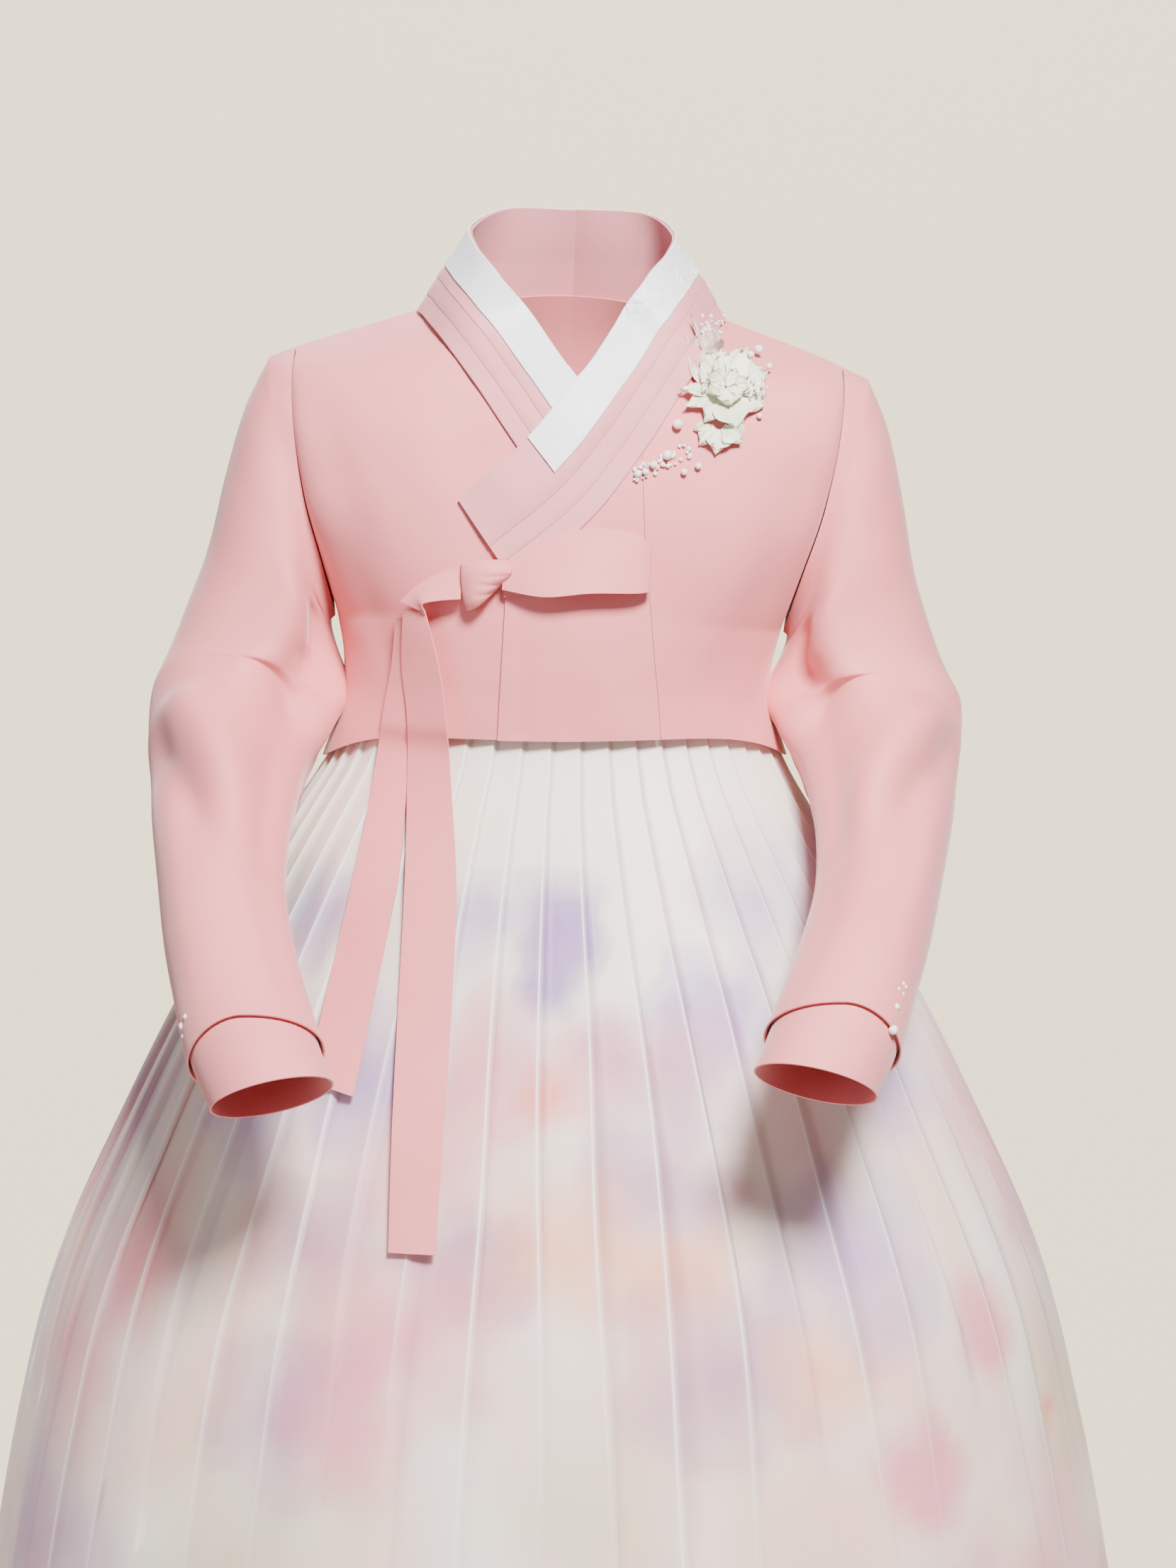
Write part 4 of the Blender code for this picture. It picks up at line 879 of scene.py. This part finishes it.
def sleeve_relief(at, turns):
    """How far the worn sleeve stands out of its even form, at a ring and round it."""
    rise = np.zeros(turns.shape)
    for place, turn, reach, wide, depth in FOLDS:
        off = (turns - turn + 180) % 360 - 180
        rise += depth * np.exp(-(((at - place) / reach) ** 2)) * np.exp(-((off / wide) ** 2))
    for at0, turn0, at1, turn1, wide, depth in SLEEVE_CREASES:
        run = np.array([at1 - at0, (turn1 - turn0) / 57])
        long = float(np.hypot(*run))
        run = run / long
        across = ((turns - turn0 + 180) % 360 - 180) / 57
        along = (at - at0) * run[0] + across * run[1]
        off = ((at - at0) * run[1] - across * run[0]) / wide
        fade = soft(along, 0.0, 0.35 * long) * (1 - soft(along, 0.70 * long, 1.10 * long))
        rise += depth * fade * off * np.exp(0.5 - off**2 / 2)
    return rise


def ring(at, spin, swell=0.0):
    """Ring of the sleeve at a place along the table, and the way along it."""

    def centre(s):
        return np.stack([(spline(ARM, k, s) + spline(ARM, k + 3, s)) / 2 for k in (1, 2, 3)], -1)

    outer = np.stack([spline(ARM, k, at) for k in (1, 2, 3)], -1)
    inner = np.stack([spline(ARM, k, at) for k in (4, 5, 6)], -1)
    along = unit(centre(min(at + 1.1, 14)) - centre(max(at - 1.1, 1)))
    half = (outer - inner) / 2
    reach = np.linalg.norm(half)
    broad = half / reach
    deep = unit(np.cross(along, broad))
    c, s = np.cos(spin)[:, None], np.sin(spin)[:, None]
    size = spline(ARM, 7, at) + swell
    return (outer + inner) / 2 + broad * (reach + swell) * c + deep * size * s, along


def armhole(spin):
    """Edge of the armhole, from the shoulder seam down the front to the underarm and up the back."""
    points = []
    for turn in spin:
        share = abs((turn + math.pi) % (2 * math.pi) - math.pi) / math.pi
        rows = FRONT if (turn % (2 * math.pi)) <= math.pi else BACK
        point, _ = body(rows, SIDE, 0.998 - share * 0.58)
        points.append(point + np.array([SEAM + 0.0006 + 0.0016 * share**2, 0, -0.0012 * share**3]))
    return np.array(points)


def hung(points, hand, at):
    """The wearer's right cuff hangs a little lower and further out than the left."""
    dx, dz = (0.002, -0.006) if hand == "right" else (-0.007, 0.002)
    share = float(soft(at, 8, 13))
    return points + np.array([dx * share, 0, dz * share])


around = np.arange(96) * 2 * math.pi / 96
degrees = np.degrees(around)
sleeve_edges = {}
for hand, side in (("right", -1), ("left", 1)):
    mirror = np.array([side, 1, 1])
    sleeve_places = [np.linspace(1, 5.6, 34), np.linspace(5.7, 9.0, 46), np.linspace(9.1, 12.9, 34)]
    first = armhole(around)
    sleeve_grid = [first]
    for at in np.concatenate(sleeve_places):
        points, along = ring(at, around)
        middle = points.mean(0)
        relief = sleeve_relief(at, degrees) * (1 - soft(at, 12.2, 12.8)) * soft(at, 1.0, 2.0)
        points = points + unit(points - middle) * relief[:, None]
        end = float(soft(at, 12.0, 12.9))
        slant = 0.016 * np.clip(np.cos(around), 0, 1) ** 1.5 + 0.007 * np.sin(around)
        slant = slant - 0.004 * np.clip(-np.cos(around), 0, 1) ** 2
        points = points + along * (slant * end)[:, None]
        sleeve_grid.append(hung(points, hand, at))
    sleeve_grid = np.array(sleeve_grid)
    sleeve_edges[hand] = sleeve_grid[-12:, :].reshape(-1, 3) * mirror
    out = facing(sleeve_grid, True)
    piece = sew("sleeve_silk_" + hand, "sleeve_" + hand, silk, (sleeve_grid - out * CLOTH / 2) * mirror,
                (sleeve_grid + out * CLOTH / 2) * mirror, True)
    cuff_grid = []
    for at in np.linspace(12.0, 13.9, 22):
        points, along = ring(at, around, -0.0021 - 0.0012 * (at - 12))
        end = float(soft(at, 12.6, 13.9))
        points = points + along * ((0.005 + 0.017 * np.sin(around) + 0.009 * np.cos(around)) * end)[:, None]
        cuff_grid.append(hung(points, hand, at))
    cuff_grid = np.array(cuff_grid)
    out = facing(cuff_grid, True)
    piece = sew("cuff_silk_" + hand, "cuff_" + hand, silk, (cuff_grid - out * CLOTH / 2) * mirror,
                (cuff_grid + out * CLOTH / 2) * mirror, True)


# Goreum, the ribbon ties: long straight ribbons of the same silk, sewn to the fronts and tied in a
# one-loop bow on the overlap's edge. One tail is long, the other shorter, and both lie on the skirt.
def skirt_front(x, z, out):
    wide, deep = spline(SKIRT, 1, z), spline(SKIRT, 2, z)
    share = np.clip((x - spline(SKIRT, 5, z)) / (wide + out), -0.999, 0.999)
    return -(deep + out) * np.sqrt(1 - share**2)


def rest(x, z):
    """Depth of what a ribbon lies on, at x and z."""
    chest = body(FRONT, *find(FRONT, x, np.maximum(z, -0.278)))[0][..., 1] - 0.0018
    below = skirt_front(x, z, spline(SKIRT, 4, z) + CLOTH)
    share = soft(-z, 0.270, 0.290)
    return np.minimum(chest * (1 - share) + (below - 0.002) * share, np.where(z < -0.275, below, chest))


def ribbon(name, node, rows, steps):
    """Flat ribbon. rows: place, left x, left z, right x, right z, lift at left, lift at right."""
    at = np.linspace(rows[0][0], rows[-1][0], steps)[:, None]
    c = np.linspace(0, 1, 9)[None, :]
    at, c = np.broadcast_arrays(at, c)
    x = spline(rows, 1, at) * (1 - c) + spline(rows, 3, at) * c
    z = spline(rows, 2, at) * (1 - c) + spline(rows, 4, at) * c
    lift = spline(rows, 5, at) * (1 - c) + spline(rows, 6, at) * c
    points = np.stack([x, rest(x, z) - lift, z], -1)
    out = facing(points, False)
    piece = sew(name, node, silk, points - out * CLOTH / 2, points + out * CLOTH / 2, False)
    return piece


LONG_TAIL = [
    (0, -0.1010, -0.1985, -0.0860, -0.1995, 0.0090, 0.0110),
    (1, -0.1010, -0.2350, -0.0760, -0.2340, 0.0060, 0.0140),
    (2, -0.0960, -0.2700, -0.0700, -0.2700, 0.0075, 0.0160),
    (3, -0.0950, -0.3200, -0.0650, -0.3200, 0.0020, 0.0100),
    (4, -0.0960, -0.3800, -0.0620, -0.3800, 0.0006, 0.0036),
    (5, -0.1000, -0.4700, -0.0660, -0.4700, 0.0004, 0.0004),
    (6, -0.1020, -0.5300, -0.0700, -0.5300, 0.0004, 0.0004),
    (7, -0.1030, -0.5860, -0.0730, -0.5860, 0.0004, 0.0004),
]
SHORT_TAIL = [
    (0, -0.1060, -0.2050, -0.0880, -0.2060, 0.0030, 0.0050),
    (1, -0.1080, -0.2350, -0.0900, -0.2350, 0.0030, 0.0050),
    (2, -0.1130, -0.2680, -0.0930, -0.2720, 0.0045, 0.0045),
    (3, -0.1190, -0.3150, -0.0960, -0.3180, 0.0010, 0.0010),
    (4, -0.1280, -0.3600, -0.1000, -0.3650, 0.0010, 0.0010),
    (5, -0.1440, -0.4300, -0.1140, -0.4350, 0.0010, 0.0010),
    (6, -0.1580, -0.4900, -0.1270, -0.4970, 0.0010, 0.0010),
]
ARM_RIBBON = [
    (0, -0.0637, -0.1670, -0.0637, -0.1885, 0.0040, 0.0090),
    (1, -0.0800, -0.1740, -0.0770, -0.1900, 0.0050, 0.0130),
    (2, -0.0930, -0.1830, -0.0880, -0.1930, 0.0070, 0.0160),
    (3, -0.1030, -0.1930, -0.0860, -0.1990, 0.0110, 0.0130),
]
ribbon("ribbon_long_tail", "goreum_long_tail", LONG_TAIL, 90)
ribbon("ribbon_short_tail", "goreum_short_tail", SHORT_TAIL, 70)
ribbon("ribbon_arm", "goreum_arm", ARM_RIBBON, 30)

# place, x, z of the upper edge, z of the lower edge, lift of the upper edge, of the lower edge
BOW = [
    (0.0, -0.0360, -0.1660, -0.1860, 0.0022, 0.0030),
    (1.0, 0.0100, -0.1600, -0.1800, 0.0022, 0.0030),
    (2.0, 0.0500, -0.1580, -0.1770, 0.0024, 0.0034),
    (2.5, 0.0575, -0.1540, -0.1785, 0.0034, 0.0080),
    (3.0, 0.0520, -0.1450, -0.1795, 0.0040, 0.0125),
    (4.0, 0.0200, -0.1400, -0.1800, 0.0036, 0.0165),
    (5.0, -0.0100, -0.1480, -0.1835, 0.0040, 0.0150),
    (6.0, -0.0370, -0.1670, -0.1810, 0.0060, 0.0070),
]
bow_at = np.linspace(0, 6, 100)[:, None]
bow_c = np.linspace(0, 1, 11)[None, :]
bow_at, bow_c = np.broadcast_arrays(bow_at, bow_c)
bow_x = spline(BOW, 1, bow_at)
bow_z = spline(BOW, 2, bow_at) * (1 - bow_c) + spline(BOW, 3, bow_at) * bow_c
bow_lift = spline(BOW, 4, bow_at) * (1 - bow_c) + spline(BOW, 5, bow_at) * bow_c
bow_grid = np.stack([bow_x, rest(bow_x, bow_z) - bow_lift, bow_z], -1)
bow_out = facing(bow_grid, False)
ribbon_loop = sew("ribbon_loop", "goreum_loop", silk, bow_grid - bow_out * CLOTH / 2,
                  bow_grid + bow_out * CLOTH / 2, False)

# The knot: the ribbon passed over the tie and pulled down towards a deep fold at its lower right.
# place down the knot, x and z of its left edge, of its middle, of its right edge
KNOT = [
    (0.0, -0.0640, -0.1650, -0.0500, -0.1625, -0.0350, -0.1620),
    (0.3, -0.0640, -0.1745, -0.0510, -0.1715, -0.0310, -0.1690),
    (0.6, -0.0630, -0.1830, -0.0520, -0.1800, -0.0360, -0.1755),
    (0.85, -0.0610, -0.1915, -0.0525, -0.1880, -0.0395, -0.1800),
    (1.0, -0.0590, -0.1960, -0.0520, -0.1925, -0.0410, -0.1820),
]
knot_down = np.linspace(0, 1, 30)[:, None]
knot_over = np.linspace(-1, 1, 31)[None, :]
knot_down, knot_over = np.broadcast_arrays(knot_down, knot_over)
knot_near, knot_far = np.clip(-knot_over, 0, 1), np.clip(knot_over, 0, 1)
knot_x, knot_z = [
    spline(KNOT, 3 + k, knot_down) * (1 - knot_near - knot_far)
    + spline(KNOT, 1 + k, knot_down) * knot_near + spline(KNOT, 5 + k, knot_down) * knot_far
    for k in (0, 1)
]
knot_lift = 0.0100 * np.sqrt(np.clip(1 - 0.80 * knot_over**2, 0, 1)) * (1 - 0.45 * (2 * knot_down - 1) ** 4)
knot_lift = knot_lift + 0.0050 - 0.0045 * soft(knot_over, 0.3, 1.0) * soft(knot_down, 0.3, 0.9)
for start, turn, depth in ((0.95, 0.30, 0.0016), (0.70, 0.42, 0.0012), (0.40, 0.55, 0.0008)):
    crease = knot_down - start + turn * (knot_over - 1) * -1 * (start - 0.3)
    knot_lift = knot_lift - depth * np.exp(-((crease / 0.05) ** 2)) * soft(knot_over, -0.6, 0.8)
knot_seat = rest(knot_x, knot_z)
knot_face = np.stack([knot_x, knot_seat - knot_lift, knot_z], -1)
knot_back = np.stack([knot_x * 0.96 - 0.0021, knot_seat - 0.0034, knot_z], -1)
sew("ribbon_knot", "goreum_knot", silk, knot_back, knot_face, False, sharp=70)


# Corsage pinned on the wearer's left chest: stiff pearly petals, two buds and a hanging spray, each
# petal cut and shaped on its own, with white seed beads, pearls and clear drops on fine wire.
pearly = woven("pearly_petal", (0.90, 0.86, 0.70), (0.62, 0.66, 0.50), rough=0.40, sheen=0.30, cloud=70.0)
blush = woven("blush_petal", (0.86, 0.68, 0.62), (0.56, 0.38, 0.34), rough=0.45, sheen=0.30, cloud=90.0)
FLOWER = (0.1000, -0.0520)


def on_chest(u, w, rise):
    """Point over the chest, u to the wearer's left of the flower's middle and w above it."""
    x, z = FLOWER[0] + np.asarray(u, float), FLOWER[1] + np.asarray(w, float)
    place = body(FRONT, *find(FRONT, x, z))[0]
    place[..., 0], place[..., 2] = x, z
    over = soft(np.asarray(w, float) - 0.5 * np.asarray(u, float), 0.020, 0.032)
    place[..., 1] = place[..., 1] * (1 - over) + np.minimum(place[..., 1], -0.0505) * over
    way = body(FRONT, *find(FRONT, *FLOWER))[1]
    return place + way * np.asarray(rise, float)[..., None]


def petal(u0, w0, u1, w1, wide, low, high, cup, flutes, seed):
    """Petal from its foot to its tip, wide across, rising from low to high over the chest."""
    s = np.linspace(0, 1, 18)[:, None]
    q = np.linspace(-1, 1, 19)[None, :]
    s, q = np.broadcast_arrays(s, q)
    run = np.array([u1 - u0, w1 - w0])
    long = np.hypot(*run)
    run = run / long
    half = wide * (0.30 + 0.70 * soft(s, 0.0, 0.5)) * (1 - np.clip(2 * s - 1, 0, 0.985) ** 2.6) ** 0.45
    edge = 1 + 0.04 * np.sin(4 * q + seed) + 0.015 * np.sin(9 * q + 2 * seed)
    reach = long * s * (1 - 0.18 * q**2 * s) * edge
    across = half * q
    u = u0 + run[0] * reach - run[1] * across
    w = w0 + run[1] * reach + run[0] * across
    rise = low + (high - low) * s**1.4 + cup * q**2 * (0.3 + 0.7 * s) - 0.0022 * soft(s, 0.75, 1.0)
    rise = rise + 0.0011 * np.sin(flutes * q + seed) * soft(s, 0.1, 0.6)
    rise = rise + 0.0009 * np.sin(9 * q + 3 * seed) * soft(s, 0.7, 1)
    return shell(on_chest(u, w, rise), on_chest(u, w, rise + 0.0005), False)


def ball(u, w, rise, radius):
    turn = np.arange(12) * 2 * math.pi / 12
    tip = np.linspace(0.02, math.pi - 0.02, 9)[:, None]
    centre = on_chest(u, w, rise)
    grid = np.stack([np.sin(tip) * np.cos(turn), np.sin(tip) * np.sin(turn), np.cos(tip) + 0 * turn], -1)
    grid = grid * radius
    points, faces = shell(None, grid, True)
    return points + centre, faces


# foot u, w, tip u, w, half width, low, high, cup, flutes, seed
FLOWER_PETALS = [
    (0.000, 0.001, -0.015, 0.022, 0.0105, 0.0030, 0.0090, 0.0026, 16, 0.4),
    (0.001, 0.001, -0.003, 0.023, 0.0075, 0.0050, 0.0110, 0.0020, 12, 1.7),
    (0.003, 0.001, 0.013, 0.023, 0.0085, 0.0060, 0.0140, 0.0040, 6, 2.9),
    (0.003, 0.000, 0.028, 0.011, 0.0100, 0.0030, 0.0090, 0.0024, 9, 3.3),
    (0.003, -0.001, 0.027, -0.010, 0.0105, 0.0030, 0.0070, 0.0020, 8, 4.1),
    (0.001, -0.002, 0.008, -0.025, 0.0125, 0.0050, 0.0095, 0.0034, 6, 5.2),
    (0.000, -0.002, -0.012, -0.021, 0.0095, 0.0030, 0.0075, 0.0020, 8, 0.9),
    (-0.002, -0.001, -0.030, -0.003, 0.0042, 0.0030, 0.0120, 0.0012, 4, 2.2),
    (-0.002, -0.002, -0.026, -0.013, 0.0052, 0.0030, 0.0100, 0.0012, 4, 1.3),
]
HEART_PETALS = [
    (0.000, 0.000, -0.012, 0.007, 0.0060, 0.0080, 0.0130, 0.0026, 16, 0.2),
    (0.001, 0.000, 0.006, 0.010, 0.0050, 0.0090, 0.0150, 0.0030, 9, 1.1),
    (0.001, 0.000, 0.015, -0.001, 0.0060, 0.0080, 0.0130, 0.0026, 12, 2.4),
    (0.001, -0.001, 0.004, -0.012, 0.0085, 0.0080, 0.0120, 0.0030, 7, 3.6),
    (0.000, -0.001, -0.012, -0.004, 0.0050, 0.0080, 0.0125, 0.0026, 10, 4.4),
]
LOWER_PETALS = [
    (-0.004, -0.024, -0.015, -0.035, 0.0070, 0.0020, 0.0060, 0.0020, 9, 0.5),
    (-0.002, -0.025, -0.004, -0.041, 0.0085, 0.0030, 0.0075, 0.0024, 8, 1.9),
    (0.000, -0.024, 0.012, -0.034, 0.0080, 0.0035, 0.0085, 0.0030, 6, 2.6),
    (-0.008, -0.022, -0.019, -0.026, 0.0030, 0.0020, 0.0060, 0.0008, 4, 3.5),
]
TOP_BUD = [
    (-0.010, 0.017, -0.018, 0.037, 0.0070, 0.0040, 0.0070, 0.0020, 9, 0.3),
    (-0.009, 0.017, -0.012, 0.040, 0.0065, 0.0052, 0.0086, 0.0022, 9, 1.6),
    (-0.008, 0.017, -0.005, 0.035, 0.0055, 0.0042, 0.0072, 0.0018, 7, 2.8),
    (-0.013, 0.024, -0.023, 0.046, 0.0018, 0.0040, 0.0070, 0.0004, 3, 0.8),
]
SIDE_BUD = [
    (-0.014, 0.000, -0.026, 0.022, 0.0028, 0.0050, 0.0085, 0.0008, 4, 0.5),
    (-0.025, 0.018, -0.033, 0.030, 0.0046, 0.0060, 0.0090, 0.0014, 6, 1.4),
    (-0.025, 0.018, -0.027, 0.032, 0.0038, 0.0070, 0.0100, 0.0014, 6, 2.6),
]
for name, node, finish, rows in (
    ("flower_petals", "corsage_flower", pearly, FLOWER_PETALS),
    ("heart_petals", "corsage_heart", pearly, HEART_PETALS),
    ("lower_petals", "corsage_lower", pearly, LOWER_PETALS),
    ("top_bud_petals", "corsage_bud_top", blush, TOP_BUD),
    ("side_bud_petals", "corsage_bud_side", blush, SIDE_BUD),
):
    make(name, node, finish, [petal(*row) for row in rows])

bead_glass = woven("bead_white", (0.92, 0.90, 0.88), (0.80, 0.70, 0.68), rough=0.12, sheen=0.0, cloud=260.0)
bead_rows = np.random.default_rng(3)
beads = []
for u0, u1, w0, count in ((-0.016, -0.003, 0.001, 34), (0.004, 0.027, 0.000, 44)):
    for k in range(count):
        u = bead_rows.uniform(u0, u1)
        w = w0 + 0.0035 * math.sin(9 * k) - 0.08 * (u - u0) + bead_rows.uniform(-0.0022, 0.0022)
        beads.append(ball(u, w, 0.0095 + bead_rows.uniform(0, 0.0015), bead_rows.uniform(0.0006, 0.0012)))
for k in range(22):
    u, w = bead_rows.uniform(-0.016, -0.001), bead_rows.uniform(0.034, 0.047)
    beads.append(ball(u, w, 0.0035 + bead_rows.uniform(0, 0.004), bead_rows.uniform(0.0007, 0.0015)))
for k in range(46):
    share = bead_rows.uniform(0, 1)
    u, w = -0.056 + 0.036 * share, -0.056 + 0.018 * share + bead_rows.uniform(-0.005, 0.006)
    beads.append(ball(u, w, 0.0026 + bead_rows.uniform(0, 0.0015), bead_rows.uniform(0.0008, 0.0018)))
for u, w, radius in ((-0.0295, -0.0235, 0.0033), (-0.0355, -0.0430, 0.0032), (-0.0440, -0.0490, 0.0026),
                     (-0.0540, -0.0550, 0.0026), (-0.0490, -0.0535, 0.0022), (-0.0240, -0.0530, 0.0022),
                     (0.0220, 0.0225, 0.0030), (0.0165, 0.0195, 0.0026), (0.0290, 0.0130, 0.0022),
                     (0.0240, -0.0165, 0.0020), (0.0120, -0.0200, 0.0018), (-0.0150, -0.0490, 0.0022)):
    beads.append(ball(u, w, 0.0030 + radius + (0.004 if w > 0 else 0), radius))
make("corsage_beads", "corsage_flower", bead_glass, beads)

# Small bead trims sewn to the outer corner of each sleeve hem: a few white seeds and one clear drop.
for hand, side, spots in (
    ("left", 1, [(0.2085, -0.4315, 0.0030), (0.2110, -0.4190, 0.0022), (0.2145, -0.4140, 0.0018),
                 (0.2160, -0.4080, 0.0016), (0.2180, -0.4110, 0.0014), (0.2130, -0.4100, 0.0014)]),
    ("right", -1, [(0.2265, -0.4340, 0.0026), (0.2245, -0.4270, 0.0018), (0.2255, -0.4390, 0.0016)]),
):
    seeds = []
    for x, z, radius in spots:
        centre = np.array([x * side, -0.262, z])
        hem = sleeve_edges[hand]
        near = hem[np.argmin(((hem[:, [0, 2]] - centre[[0, 2]]) ** 2).sum(1))]
        points, faces = ball(0, 0, 0, radius)
        points = points - points.mean(0) + near + (centre - near) * np.array([0.45, 0, 0.45])
        seeds.append((points, faces))
    make("wrist_beads_" + hand, "sleeve_" + hand, bead_glass, seeds)
